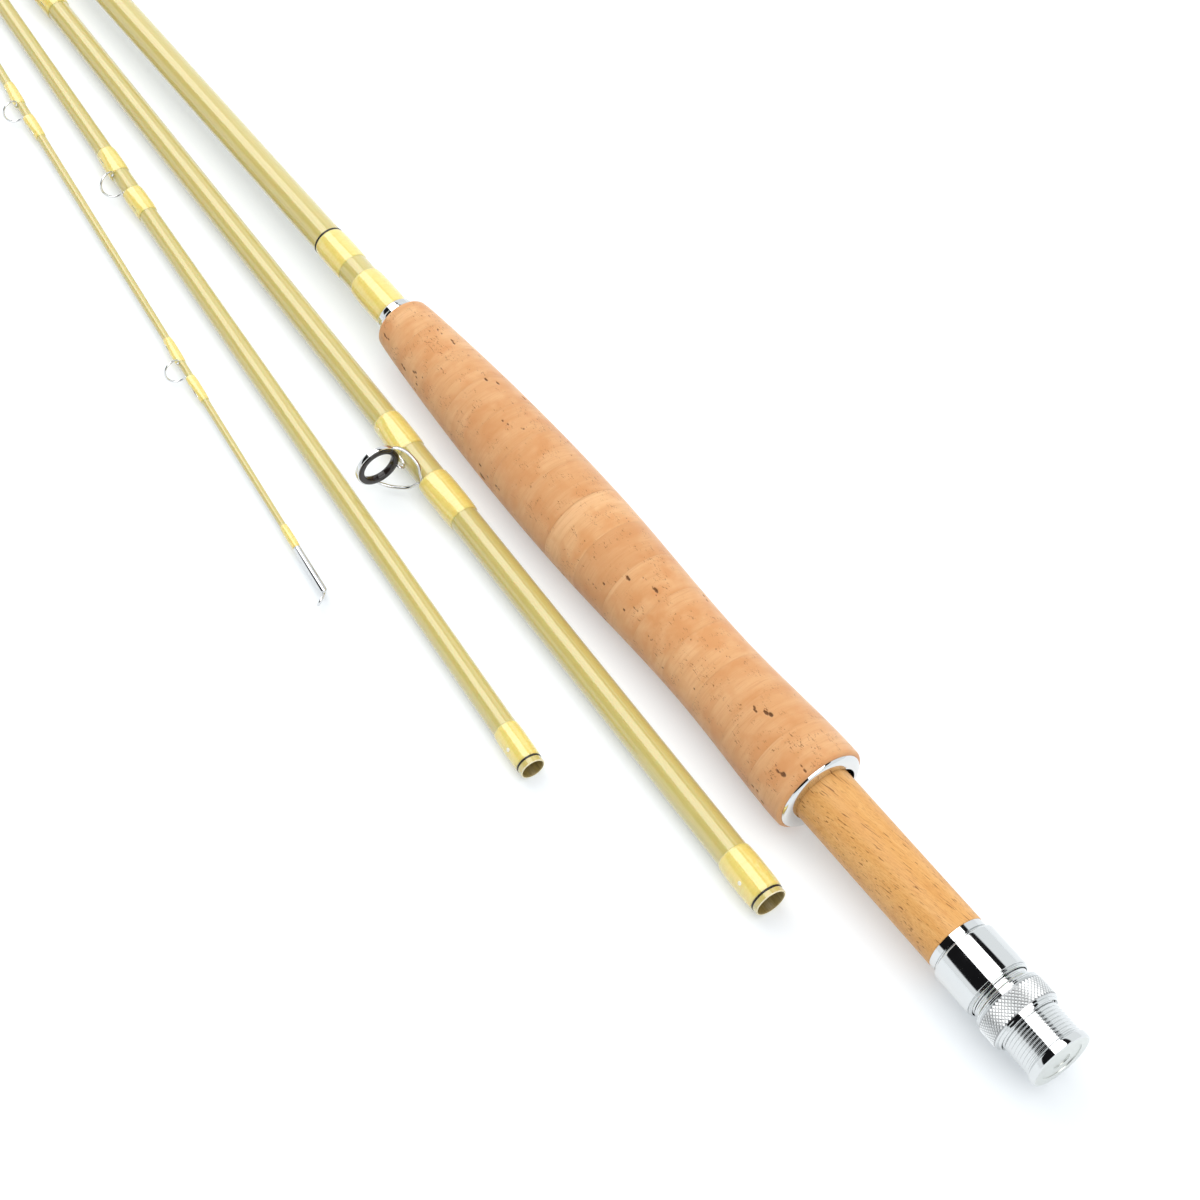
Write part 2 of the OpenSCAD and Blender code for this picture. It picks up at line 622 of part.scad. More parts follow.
module tip_top_wrap() color(WRAP_COLOUR) on_tip()
    wrap(tip_tube_start - 8.6, thin_blank(tip_tube_start - 8.6), tip_tube_start - GLUE_GAP,
        thin_blank(tip_tube_start), 0.5);

// ---------- what is shown ----------

butt_blank();
for (k = [1 : cork_rings])
    cork_ring(k);
winding_check();
grip_wrap();
label_wrap();
label_trim();
fixed_hood();
seat_insert();
seat_arbors();
thread_barrel();
butt_cap();
sliding_hood();
slip_washer();
lock_nut();
lower_mid_blank();
lower_mid_joint_wrap();
lower_mid_joint_trim();
stripping_guide_frame();
stripping_guide_ring();
stripping_guide_wraps();
lower_mid_snake();
lower_mid_snake_wraps();
upper_mid_blank();
upper_mid_joint_wrap();
upper_mid_joint_trim();
upper_mid_snake(0);  // upper_mid_snake_1
upper_mid_snake(1);  // upper_mid_snake_2
upper_mid_snake_wraps();
tip_blank();
tip_joint_wrap();
tip_joint_trim();
tip_snake(0);  // tip_snake_1
tip_snake(1);  // tip_snake_2
tip_snake(2);  // tip_snake_3
tip_snake(3);  // tip_snake_4
tip_snake_wraps();
tip_top_tube();
tip_top_loop();
tip_top_wrap();
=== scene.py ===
"""A four-piece glass-fibre fly rod, taken apart on a table: the finished pieces and the studio."""

import json
import math
import random

import bmesh
import bpy
import numpy as np
from mathutils import Matrix, Vector, noise


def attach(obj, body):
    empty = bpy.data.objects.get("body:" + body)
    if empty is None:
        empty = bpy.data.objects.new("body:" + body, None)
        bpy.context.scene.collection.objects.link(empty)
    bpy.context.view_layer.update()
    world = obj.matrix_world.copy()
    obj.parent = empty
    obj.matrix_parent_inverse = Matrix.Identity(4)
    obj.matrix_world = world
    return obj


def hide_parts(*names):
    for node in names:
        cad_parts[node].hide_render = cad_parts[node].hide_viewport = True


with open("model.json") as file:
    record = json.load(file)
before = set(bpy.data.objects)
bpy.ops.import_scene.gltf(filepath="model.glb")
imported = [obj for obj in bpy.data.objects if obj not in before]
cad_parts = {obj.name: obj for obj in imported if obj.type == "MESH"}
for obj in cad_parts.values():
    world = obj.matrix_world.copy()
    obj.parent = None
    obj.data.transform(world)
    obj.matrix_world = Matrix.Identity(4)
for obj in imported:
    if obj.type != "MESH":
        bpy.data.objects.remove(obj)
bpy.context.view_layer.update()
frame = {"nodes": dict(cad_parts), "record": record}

bl_info = {
    "name": "Fly Rod Maker",
    "version": (1, 0, 0),
    "blender": (4, 5, 0),
    "location": "3D View > Sidebar > Fly Rod",
    "description": "Makes the blanks, grip, reel seat, wraps and guides of a four-piece fly rod",
    "category": "Add Mesh",
}

MM = 0.001
BUTT, LOWER, UPPER, TIP = "butt_section", "lower_mid_section", "upper_mid_section", "tip_section"
CORK_RINGS = 15
WELD = 0.0002
COARSE_WELD = 0.001


# ---------- where the sections lie ----------

def mount_of(name):
    """The record's mount of that name."""
    return next(m for m in frame["record"]["mounts"] if m["name"] == name)


def section_frame(first_node, mount_name, forward):
    """A matrix whose X runs along a section from its first end, in metres, with Z up."""
    mount = mount_of(mount_name)
    along = Vector(mount["axis"]) * forward
    point = Vector(mount["pos_m"])
    start = min((v.co - point).dot(along) for v in frame["nodes"][first_node].data.vertices)
    across = Vector((0, 0, 1)).cross(along)
    lie = Matrix((along, across, Vector((0, 0, 1)))).transposed().to_4x4()
    lie.translation = point + along * start
    return lie


SECTIONS = {
    BUTT: section_frame("butt_cap", "butt_male_end", 1),
    LOWER: section_frame("lower_mid_blank", "lower_mid_socket", -1),
    UPPER: section_frame("upper_mid_blank", "upper_mid_socket", -1),
    TIP: section_frame("tip_blank", "tip_socket", -1),
}


def section_of(node):
    """The section that a node's own measures are taken along."""
    for start, section in (("lower_mid", LOWER), ("stripping", LOWER), ("upper_mid", UPPER), ("tip_", TIP)):
        if node.startswith(start):
            return section
    return BUTT


_points = {}


def local_points(node):
    """A node's corners as (station, side, height) from its section's first end, in millimetres."""
    if node not in _points:
        corners = frame["nodes"][node].data.vertices
        flat = np.empty(len(corners) * 3)
        corners.foreach_get("co", flat)
        inverse = np.array(SECTIONS[section_of(node)].inverted())
        _points[node] = (flat.reshape(-1, 3) @ inverse[:3, :3].T + inverse[:3, 3]) / MM
    return _points[node]


def span_of(node):
    """First and last station of a node."""
    stations = local_points(node)[:, 0]
    return float(stations.min()), float(stations.max())


def stretches_of(node, gap=4.0):
    """First and last station of each separate stretch of a node."""
    stations = np.unique(local_points(node)[:, 0].round(3))
    breaks = np.flatnonzero(np.diff(stations) > gap)
    starts = np.concatenate(([stations[0]], stations[breaks + 1]))
    ends = np.concatenate((stations[breaks], [stations[-1]]))
    return [(float(a), float(b)) for a, b in zip(starts, ends)]


def outer_profile(node, wall=0.5, reach=26.0):
    """Stations and outer radii along a turned node; corners more than a wall below the rest are inside."""
    points = local_points(node)
    radii = np.hypot(points[:, 1], points[:, 2])
    stations = points[:, 0].round(2)
    places = np.unique(stations)
    highest = np.array([radii[stations == x].max() for x in places])
    near = np.abs(places[:, None] - places[None, :]) < reach
    crest = np.where(near, highest[None, :], 0).max(axis=1)
    outside = highest > crest - wall
    return places[outside], highest[outside]


def leaning_of(node):
    """The direction that a guide points to, as an angle about its section's axis."""
    centre = local_points(node).mean(axis=0)
    return math.atan2(centre[2], centre[1])


PROFILES = {
    BUTT: outer_profile("butt_blank"),
    LOWER: outer_profile("lower_mid_blank"),
    UPPER: outer_profile("upper_mid_blank"),
    TIP: outer_profile("tip_blank"),
}


def blank_radius(section, station):
    """Outer radius of a section's blank at a station."""
    return float(np.interp(station, *PROFILES[section]))


# ---------- mesh helpers: everything is modelled in millimetres along its section ----------

def only(geometry, kind):
    """The elements of one kind out of an operator's result."""
    return [g for g in geometry if isinstance(g, kind)]


def turned(bm, outline, steps=96, closed=False):
    """Spins an outline of (station, radius) points about the section's axis."""
    corners = [bm.verts.new((x, r, 0)) for x, r in outline]
    pairs = list(zip(corners, corners[1:]))
    if closed:
        pairs.append((corners[-1], corners[0]))
    edges = [bm.edges.new(pair) for pair in pairs]
    before = set(bm.faces)
    bmesh.ops.spin(bm, geom=corners + edges, cent=(0, 0, 0), axis=(1, 0, 0), angle=math.tau, steps=steps,
                   use_merge=True)
    return [f for f in bm.faces if f not in before]


def weld(bm, distance=WELD):
    """Merges doubles and turns every face outwards."""
    bmesh.ops.remove_doubles(bm, verts=bm.verts, dist=distance)
    bmesh.ops.recalc_face_normals(bm, faces=bm.faces)


def lathe(outline, steps=96, distance=WELD):
    """A new turned piece from a closed outline, welded."""
    bm = bmesh.new()
    turned(bm, outline, steps, closed=True)
    weld(bm, distance)
    return bm


def radius_at(point):
    """How far a point is from the section's axis."""
    return math.hypot(point.y, point.z)


def push_out(vert, distance):
    """Moves a corner away from the section's axis."""
    away = Vector((0, vert.co.y, vert.co.z))
    if away.length > 0:
        vert.co += away.normalized() * distance


def roll(bm, angle):
    """Rolls a shape modelled upright about the section's axis, to an angle measured from its side."""
    bmesh.ops.transform(bm, matrix=Matrix.Rotation(angle - math.pi / 2, 4, "X"), verts=bm.verts)


def arc(centre, radius, start, end, count):
    """Points along an arc in the (station, radius) plane; angles in degrees."""
    angles = [math.radians(start + (end - start) * i / (count - 1)) for i in range(count)]
    return [(centre[0] + radius * math.cos(a), centre[1] + radius * math.sin(a)) for a in angles]


def wire_frames(path, widths, flats, up):
    """One matrix for each point of a wire: across, over and along it, scaled to its half widths."""
    frames = []
    for i, point in enumerate(path):
        along = (path[min(i + 1, len(path) - 1)] - path[max(i - 1, 0)]).normalized()
        across = up.cross(along).normalized()
        over = along.cross(across)
        lie = Matrix((across * widths[i], over * widths[i] * flats[i], along)).transposed().to_4x4()
        lie.translation = point
        frames.append(lie)
    return frames


def sweep(bm, frames, sides=16, ring=False):
    """Draws a wire through its frames by growing a circle from one to the next."""
    start = bmesh.ops.create_circle(bm, segments=sides, radius=1, matrix=frames[0])["verts"]
    edges = first = list({e for v in start for e in v.link_edges})
    for here, there in zip(frames, frames[1:]):
        grown = bmesh.ops.extrude_edge_only(bm, edges=edges)["geom"]
        corners = set(only(grown, bmesh.types.BMVert))
        bmesh.ops.transform(bm, matrix=there @ here.inverted(), verts=list(corners))
        edges = [e for e in only(grown, bmesh.types.BMEdge) if all(v in corners for v in e.verts)]
    if ring:
        bmesh.ops.bridge_loops(bm, edges=first + edges)
    else:
        bmesh.ops.holes_fill(bm, edges=first + edges, sides=sides)


def smooth_path(points, per_span=6):
    """A Catmull-Rom curve through a few given points."""
    points = [Vector(p) for p in points]
    padded = [points[0] * 2 - points[1], *points, points[-1] * 2 - points[-2]]
    path = []
    for a, b, c, d in zip(padded, padded[1:], padded[2:], padded[3:]):
        for i in range(per_span):
            t = i / per_span
            path.append(0.5 * (2 * b + (c - a) * t + (2 * a - 5 * b + 4 * c - d) * t**2
                               + (3 * b - 3 * c + d - a) * t**3))
    return path + [points[-1]]


def spread(values, count):
    """A few values spread evenly over a number of points."""
    return np.interp(np.linspace(0, 1, count), np.linspace(0, 1, len(values)), values)


def cut_away(bm, cutter):
    """Takes one closed mesh out of another."""
    shapes = []
    for mesh_bm, label in ((bm, "whole"), (cutter, "cutter")):
        mesh = bpy.data.meshes.new(label)
        bmesh.ops.recalc_face_normals(mesh_bm, faces=mesh_bm.faces)
        mesh_bm.to_mesh(mesh)
        mesh_bm.free()
        shape = bpy.data.objects.new(label, mesh)
        bpy.context.scene.collection.objects.link(shape)
        shapes.append(shape)
    whole, tool = shapes
    saw = whole.modifiers.new("saw", "BOOLEAN")
    saw.operation = "DIFFERENCE"
    saw.object = tool
    saw.solver = "EXACT"
    left = bmesh.new()
    left.from_mesh(whole.evaluated_get(bpy.context.evaluated_depsgraph_get()).to_mesh())
    for shape in shapes:
        mesh = shape.data
        bpy.data.objects.remove(shape)
        bpy.data.meshes.remove(mesh)
    return left


def finish_piece(bm, name, body, finishes, replaces=(), crease=35):
    """Keeps the piece's own coordinates as an attribute, lays it in place and lets it ride on its body.

    The nut and the sliding hood are modelled along the butt section that they sit on."""
    own = bm.verts.layers.float_vector.get("rod") or bm.verts.layers.float_vector.new("rod")
    for v in bm.verts:
        v[own] = v.co
    for e in bm.edges:
        e.smooth = e.calc_face_angle(0) < math.radians(crease)
    for f in bm.faces:
        f.smooth = True
    bm.transform(SECTIONS.get(body, SECTIONS[BUTT]) @ Matrix.Scale(MM, 4))
    mesh = bpy.data.meshes.new(name)
    bm.to_mesh(mesh)
    bm.free()
    for kind in finishes:
        mesh.materials.append(finish(kind))
    piece = bpy.data.objects.new(name, mesh)
    bpy.context.scene.collection.objects.link(piece)
    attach(piece, body)
    if replaces:
        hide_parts(*replaces)


# ---------- material helpers ----------

def rgba(value):
    """A colour or a grey number with its alpha; an output passes unchanged."""
    if isinstance(value, bpy.types.NodeSocket):
        return value
    if isinstance(value, (int, float)):
        return (value, value, value, 1)
    return (*value[:3], 1)


class Recipe:
    """A material's node tree, built one node at a time."""

    def __init__(self, name, **surface):
        self.material = bpy.data.materials.new(name)
        self.material.use_nodes = True
        self.tree = self.material.node_tree
        self.shader = self.tree.nodes["Principled BSDF"]
        for socket, value in surface.items():
            self.shader.inputs[socket.replace("_", " ")].default_value = value

    def node(self, kind, inputs=(), **settings):
        """Adds a node; inputs holds (socket, value or output) pairs."""
        made = self.tree.nodes.new("ShaderNode" + kind)
        for key, value in settings.items():
            setattr(made, key, value)
        for socket, value in inputs:
            if isinstance(value, bpy.types.NodeSocket):
                self.tree.links.new(value, made.inputs[socket])
            else:
                made.inputs[socket].default_value = value
        return made

    def own(self, scale=(1, 1, 1), turn=(0, 0, 0)):
        """The piece's own coordinates in millimetres, stretched for a pattern."""
        place = self.node("Attribute", attribute_name="rod")
        return self.node("Mapping", [("Vector", place.outputs["Vector"]), ("Scale", [1 / s for s in scale]),
                                     ("Rotation", turn)], vector_type="TEXTURE").outputs["Vector"]

    def station(self):
        """How far along its section a point is, in millimetres."""
        return self.node("SeparateXYZ", [("Vector", self.own())]).outputs["X"]

    def waves(self, along, width):
        """Waves from 0 to 1, one for every width in millimetres."""
        wave = self.math("SINE", self.math("MULTIPLY", along, math.tau / width))
        return self.math("ADD", self.math("MULTIPLY", wave, 0.5), 0.5)

    def layer(self, name):
        """A number that the piece's mesh carries."""
        return self.node("Attribute", attribute_name=name).outputs["Fac"]

    def noise(self, scale, stretch=(1, 1, 1), detail=3.0, rough=0.5, bend=0.0, turn=(0, 0, 0), shift=None):
        """Noise in cycles a millimetre; shift is a number that makes it differ from piece to piece."""
        inputs = [("Vector", self.own(stretch, turn)), ("Scale", scale), ("Detail", detail),
                  ("Roughness", rough), ("Distortion", bend)]
        if shift is not None:
            inputs.append(("W", shift))
        return self.node("TexNoise", inputs, noise_dimensions="3D" if shift is None else "4D").outputs["Fac"]

    def ramp(self, factor, *stops):
        """A colour or grey ramp; each stop is (place, value)."""
        made = self.node("ValToRGB", [("Fac", factor)])
        points = made.color_ramp.elements
        while len(points) < len(stops):
            points.new(0.5)
        for point, (place, value) in zip(points, stops):
            point.position = place
            point.color = rgba(value)
        return made.outputs["Color"]

    def mix(self, factor, a, b):
        """Mixes two colours or two greys; either may be an output."""
        return self.node("Mix", [(0, factor), (6, rgba(a)), (7, rgba(b))], data_type="RGBA").outputs[2]

    def math(self, operation, a, b=0.0):
        """The output of a sum on numbers or outputs."""
        return self.node("Math", [(0, a), (1, b)], operation=operation).outputs[0]

    def bump(self, height, strength, depth_mm=0.1, under=None):
        """A bumped normal, laid over another one if it is given."""
        inputs = [("Height", height), ("Strength", strength), ("Distance", depth_mm * MM)]
        if under is not None:
            inputs.append(("Normal", under))
        return self.node("Bump", inputs).outputs["Normal"]

    def set(self, **sockets):
        """Links outputs to the shader's sockets."""
        for socket, output in sockets.items():
            self.tree.links.new(output, self.shader.inputs[socket.replace("_", " ")])
        return self.material


_materials = {}


def finish(name):
    """A finish by name, made the first time that it is asked for."""
    if name not in _materials:
        _materials[name] = FINISHES[name](bpy.context.scene.rod_finishes)
    return _materials[name]


def blank_finish(colours):
    """Varnished glass fibre: the cloth's lengthwise fibres and the faint spiral left by its tape."""
    r = Recipe("glass_fibre", Roughness=0.32, IOR=1.5, Coat_Weight=1.0, Coat_Roughness=0.05, Coat_IOR=1.65,
               Subsurface_Weight=0.12, Subsurface_Scale=0.002)
    fibres = r.noise(1.0, (0.05, 2.2, 2.2), 4)
    clouds = r.noise(0.06, (0.35, 1, 1), 2)
    spiral = r.noise(1.0, (0.7, 0.12, 0.12), 2, turn=(0, 0.35, 0))
    body = r.mix(r.ramp(fibres, (0.35, 0.0), (0.65, 1.0)), colours.blank_dark, colours.blank_light)
    body = r.mix(r.ramp(clouds, (0.3, 0.0), (0.7, 0.30)), body, colours.blank_cloud)
    body = r.mix(r.ramp(spiral, (0.45, 0.0), (0.7, 0.25)), body, colours.blank_light)
    return r.set(Base_Color=body, Normal=r.bump(fibres, 0.08, 0.02))


def ground_end_finish(colours):
    """A male end ground to size: bare, matt glass fibre with turning marks."""
    r = Recipe("ground_glass_fibre", Roughness=0.5, IOR=1.5)
    marks = r.noise(1.0, (9, 0.3, 0.3), 3)
    body = r.mix(r.ramp(marks, (0.35, 0.0), (0.7, 1.0)), colours.blank_dark, colours.rim)
    return r.set(Base_Color=body, Normal=r.bump(marks, 0.35, 0.03))


def rim_finish(colours):
    """The sawn and sanded end of a blank, where the layers of cloth show."""
    r = Recipe("sanded_rim", Roughness=0.55, IOR=1.5)
    layers = r.noise(4.0, (0.3, 1, 1), 3)
    return r.set(Base_Color=r.mix(r.ramp(layers, (0.3, 0.0), (0.7, 1.0)), colours.rim, colours.rim_light),
                 Normal=r.bump(layers, 0.3, 0.04))


def bore_finish(colours):
    """Inside a socket: resin-brown, darkened with painted shade of the recess, and rubbed bright by its male
    end.
    """
    r = Recipe("socket_bore", Roughness=0.42, IOR=1.5)
    streaks = r.noise(1.0, (0.2, 3, 3), 3)
    return r.set(Base_Color=r.mix(r.ramp(streaks, (0.3, 0.0), (0.7, 1.0)), colours.bore_dark, colours.bore),
                 Normal=r.bump(streaks, 0.3, 0.05))


def thread_finish(colours):
    """Rows of thread gone clear under thick varnish, with painted shade on the first turns at each end of
    the wrap, where its edge lets light through.
    """
    r = Recipe("varnished_thread", Roughness=0.42, IOR=1.5, Coat_Weight=1.0, Coat_Roughness=0.02,
               Coat_IOR=1.8, Subsurface_Weight=0.15, Subsurface_Scale=0.0015)
    rows = r.waves(r.station(), colours.thread_width)
    uneven = r.noise(0.9, (1.6, 0.5, 0.5), 3)
    body = r.mix(r.ramp(rows, (0.1, 0.0), (0.9, 1.0)), colours.thread_shade, colours.thread)
    body = r.mix(r.ramp(uneven, (0.35, 0.0), (0.7, 0.45)), body, colours.thread_bright)
    # Painted shade on the wrap's first turns, strongest at each end.
    body = r.mix(r.layer("edge"), body, colours.thread_edge_shade)
    return r.set(Base_Color=body, Normal=r.bump(rows, 0.25, 0.03))


def trim_finish(colours):
    """A few turns of dark thread under varnish."""
    r = Recipe("dark_trim_thread", Roughness=0.5, IOR=1.4, Coat_Weight=0.25, Coat_Roughness=0.1)
    rows = r.waves(r.station(), 0.18)
    return r.set(Base_Color=r.mix(rows, (0.006, 0.005, 0.003), (0.022, 0.016, 0.009)),
                 Normal=r.bump(rows, 0.4, 0.03))


def paint_dot_finish(colours):
    """Dots of cream paint that line the sections up."""
    r = Recipe("cream_dot_paint", Roughness=0.3, IOR=1.5, Coat_Weight=0.6)
    grain = r.noise(6.0, detail=2)
    return r.set(Base_Color=r.mix(grain, (0.80, 0.77, 0.62), (0.93, 0.91, 0.80)),
                 Normal=r.bump(grain, 0.1, 0.02))


def cork_finish(colours):
    """Sanded cork: growth bands round the grip, specks along it, and dark walls inside the pits, darkened
    further with painted shade that deepens with the pit's depth.
    """
    r = Recipe("sanded_cork", Roughness=0.72, IOR=1.4, Specular_IOR_Level=0.3, Subsurface_Weight=0.06,
               Subsurface_Scale=0.0015, Sheen_Weight=0.3, Sheen_Roughness=0.5)
    ring = r.layer("ring")
    bands = r.noise(1.0, (0.42, 0.045, 0.045), 3, 0.5, 0.5, shift=ring)
    lines = r.noise(1.0, (1.9, 0.11, 0.11), 3, 0.6, 0.9, shift=ring)
    patches = r.noise(0.13, (1.3, 1, 1), 3, 0.5, 0.3, shift=ring)
    grain = r.noise(5.0, (1, 1, 1), 4, 0.7)
    flecks = r.noise(1.0, (0.75, 2.6, 2.6), 3, 0.6, 1.2, shift=ring)
    groups = r.noise(0.24, (1, 1, 1), 2, 0.5, shift=ring)
    body = r.mix(r.ramp(bands, (0.30, 0.0), (0.70, 1.0)), colours.cork, colours.cork_light)
    body = r.mix(r.ramp(patches, (0.44, 0.0), (0.64, 0.85)), body, colours.cork_red)
    shown = r.math("MULTIPLY", r.ramp(lines, (0.50, 0.0), (0.64, 0.42)),
                   r.ramp(patches, (0.36, 1.0), (0.60, 0.15)))
    body = r.mix(shown, body, colours.cork_dark)
    body = r.mix(r.layer("tone"), body, colours.cork_dark)
    body = r.mix(r.ramp(grain, (0.30, 0.16), (0.52, 0.0)), body, colours.cork_dark)
    holes = r.math("MULTIPLY", r.ramp(flecks, (0.59, 0.0), (0.635, 1.0)),
                   r.ramp(groups, (0.50, 0.0), (0.58, 1.0)))
    body = r.mix(holes, body, colours.cork_pit_rim)
    # Pit walls: the cork's darker pit colour, with painted shade that grows with the pit's depth.
    inside = r.mix(r.ramp(grain, (0.35, 0.0), (0.65, 1.0)), colours.cork_pit, colours.cork_pit_rim)
    body = r.mix(r.ramp(r.layer("pit"), (0.15, 0.0), (0.75, 1.0)), body, inside)
    fine = r.bump(grain, 0.25, 0.08)
    return r.set(Base_Color=body, Normal=r.bump(holes, -0.6, 0.2, fine))


def wood_finish(colours):
    """Oiled beech: broad growth bands, and short dark flecks that run slightly across the turning."""
    r = Recipe("oiled_beech", Roughness=0.48, IOR=1.45, Specular_IOR_Level=0.35, Coat_Weight=0.12,
               Coat_Roughness=0.25)
    lean = (0, 0, math.radians(9))
    bands = r.noise(1.0, (0.02, 0.30, 0.16), 3, 0.5, 0.6, lean)
    fibres = r.noise(1.0, (0.10, 4.5, 4.5), 4, 0.65, 0.0, lean)
    smudges = r.noise(1.0, (0.16, 0.40, 0.40), 3, 0.6, 0.8, lean)
    flecks = r.noise(1.0, (0.20, 2.6, 2.6), 1, 0.5, 0.35, (0, 0, math.radians(11)))
    pores = r.noise(1.0, (0.6, 8.0, 8.0), 2, 0.5, 0.0, lean)
    body = r.mix(r.ramp(bands, (0.32, 0.0), (0.66, 1.0)), colours.wood, colours.wood_light)
    body = r.mix(r.ramp(fibres, (0.35, 0.55), (0.60, 0.0)), body, colours.wood_red)
    body = r.mix(r.ramp(smudges, (0.56, 0.0), (0.74, 0.50)), body, colours.wood_red)
    body = r.mix(r.ramp(pores, (0.30, 0.40), (0.44, 0.0)), body, colours.wood_dark)
    body = r.mix(r.ramp(flecks, (0.655, 0.0), (0.70, 0.95)), body, colours.wood_dark)
    return r.set(Base_Color=body, Normal=r.bump(fibres, 0.22, 0.05))


def chrome_finish(colours):
    """Bright plated metal with the hairlines of its polishing."""
    r = Recipe("bright_chrome", Metallic=1.0, Base_Color=(0.735, 0.745, 0.745, 1))
    hairlines = r.noise(1.0, (14, 0.5, 0.5), 3, 0.6)
    smears = r.noise(0.35, (1, 1, 1), 3)
    shine = r.mix(r.ramp(smears, (0.35, 0.0), (0.75, 1.0)), 0.045, 0.10)
    return r.set(Roughness=shine, Normal=r.bump(hairlines, 0.05, 0.01))


def knurl_finish(colours):
    """Plating over cut diamonds: duller than the smooth parts, with painted shade between the diamonds and a
    painted highlight on their points.
    """
    r = Recipe("plated_knurl", Metallic=1.0)
    # Painted shade and painted highlight: the plating is dark in the valleys between the diamonds and bright
    # on their points.
    height = r.ramp(r.layer("point"), (0.0, 0.0), (0.55, 1.0))
    grain = r.noise(3.0, (1, 1, 1), 3)
    body = r.mix(height, (0.40, 0.405, 0.41), (0.92, 0.925, 0.92))
    return r.set(Base_Color=body, Roughness=r.mix(grain, 0.34, 0.46))


def spun_face_finish(colours):
    """The butt cap's turned face, with fine rings from the lathe."""
    r = Recipe("turned_face", Metallic=1.0, Base_Color=(0.70, 0.715, 0.69, 1))
    split = r.node("SeparateXYZ", [("Vector", r.own())])
    around = r.math("SQRT", r.math("ADD", r.math("POWER", split.outputs["Y"], 2.0),
                                   r.math("POWER", split.outputs["Z"], 2.0)))
    rings = r.math("SINE", r.math("MULTIPLY", around, math.tau / 0.16))
    smears = r.noise(0.5, (1, 1, 1), 3)
    shine = r.mix(smears, 0.26, 0.38)
    return r.set(Roughness=shine, Normal=r.bump(rings, 0.08, 0.01))


def wire_finish(colours):
    """Hard-plated guide wire, drawn lengthwise."""
    r = Recipe("guide_wire", Metallic=1.0, Base_Color=(0.735, 0.74, 0.745, 1))
    drawn = r.noise(2.2, (1, 1, 1), 4, 0.6)
    shine = r.mix(drawn, 0.06, 0.16)
    return r.set(Roughness=shine, Normal=r.bump(drawn, 0.06, 0.02))


def ceramic_finish(colours):
    """Polished dark ceramic."""
    r = Recipe("polished_ceramic", IOR=1.5)
    clouds = r.noise(0.8, detail=3)
    shine = r.mix(clouds, 0.05, 0.12)
    return r.set(Base_Color=r.mix(clouds, (0.008, 0.006, 0.006), (0.022, 0.016, 0.014)), Roughness=shine)


def nylon_finish(colours):
    """A slip washer punched from milky nylon sheet."""
    r = Recipe("milky_nylon", Roughness=0.45, Subsurface_Weight=0.2, Subsurface_Scale=0.001)
    place = r.node("TexCoord").outputs["Object"]
    grain = r.node("TexNoise", [("Vector", place), ("Scale", 900.0), ("Detail", 3.0)]).outputs["Fac"]
    return r.set(Base_Color=r.mix(grain, (0.72, 0.70, 0.62), (0.86, 0.85, 0.79)),
                 Normal=r.bump(grain, 0.2, 0.03))


def tape_finish(colours):
    """Rings of glued paper tape that centre the insert on the blank."""
    r = Recipe("glued_tape", Roughness=0.8)
    place = r.node("TexCoord").outputs["Object"]
    stretch = r.node("Mapping", [("Vector", place), ("Scale", (300, 2500, 2500))]).outputs["Vector"]
    layers = r.node("TexNoise", [("Vector", stretch), ("Scale", 1.0), ("Detail", 3.0)]).outputs["Fac"]
    return r.set(Base_Color=r.mix(layers, (0.52, 0.44, 0.27), (0.78, 0.71, 0.52)),
                 Normal=r.bump(layers, 0.4, 0.05))


FINISHES = {
    "blank": blank_finish, "ground_end": ground_end_finish, "rim": rim_finish, "bore": bore_finish,
    "thread": thread_finish, "trim": trim_finish, "dot": paint_dot_finish, "cork": cork_finish,
    "wood": wood_finish, "chrome": chrome_finish, "spun_face": spun_face_finish, "knurl": knurl_finish,
    "wire": wire_finish, "ceramic": ceramic_finish, "nylon": nylon_finish, "tape": tape_finish,
}


# ---------- sizes and colours that a user may change ----------

def colour(label, description, value):
    """A colour without alpha."""
    return bpy.props.FloatVectorProperty(name=label, description=description, subtype="COLOR", size=3,
                                         min=0, max=1, default=value)


def length(label, description, value, low=0.0, high=1000.0):
    """A size in millimetres."""
    return bpy.props.FloatProperty(name=label, description=description + ", in millimetres", default=value,
                                   min=low, max=high)


def number(label, description, value, low=0.0, high=1000.0):
    """A plain number."""
    return bpy.props.FloatProperty(name=label, description=description, default=value, min=low, max=high)


def count_of(label, description, value, low=0):
    """A whole number."""
    return bpy.props.IntProperty(name=label, description=description, default=value, min=low)


def angle(label, description, degrees):
    """An angle, given in degrees."""
    return bpy.props.FloatProperty(name=label, description=description, default=math.radians(degrees),
                                   subtype="ANGLE")


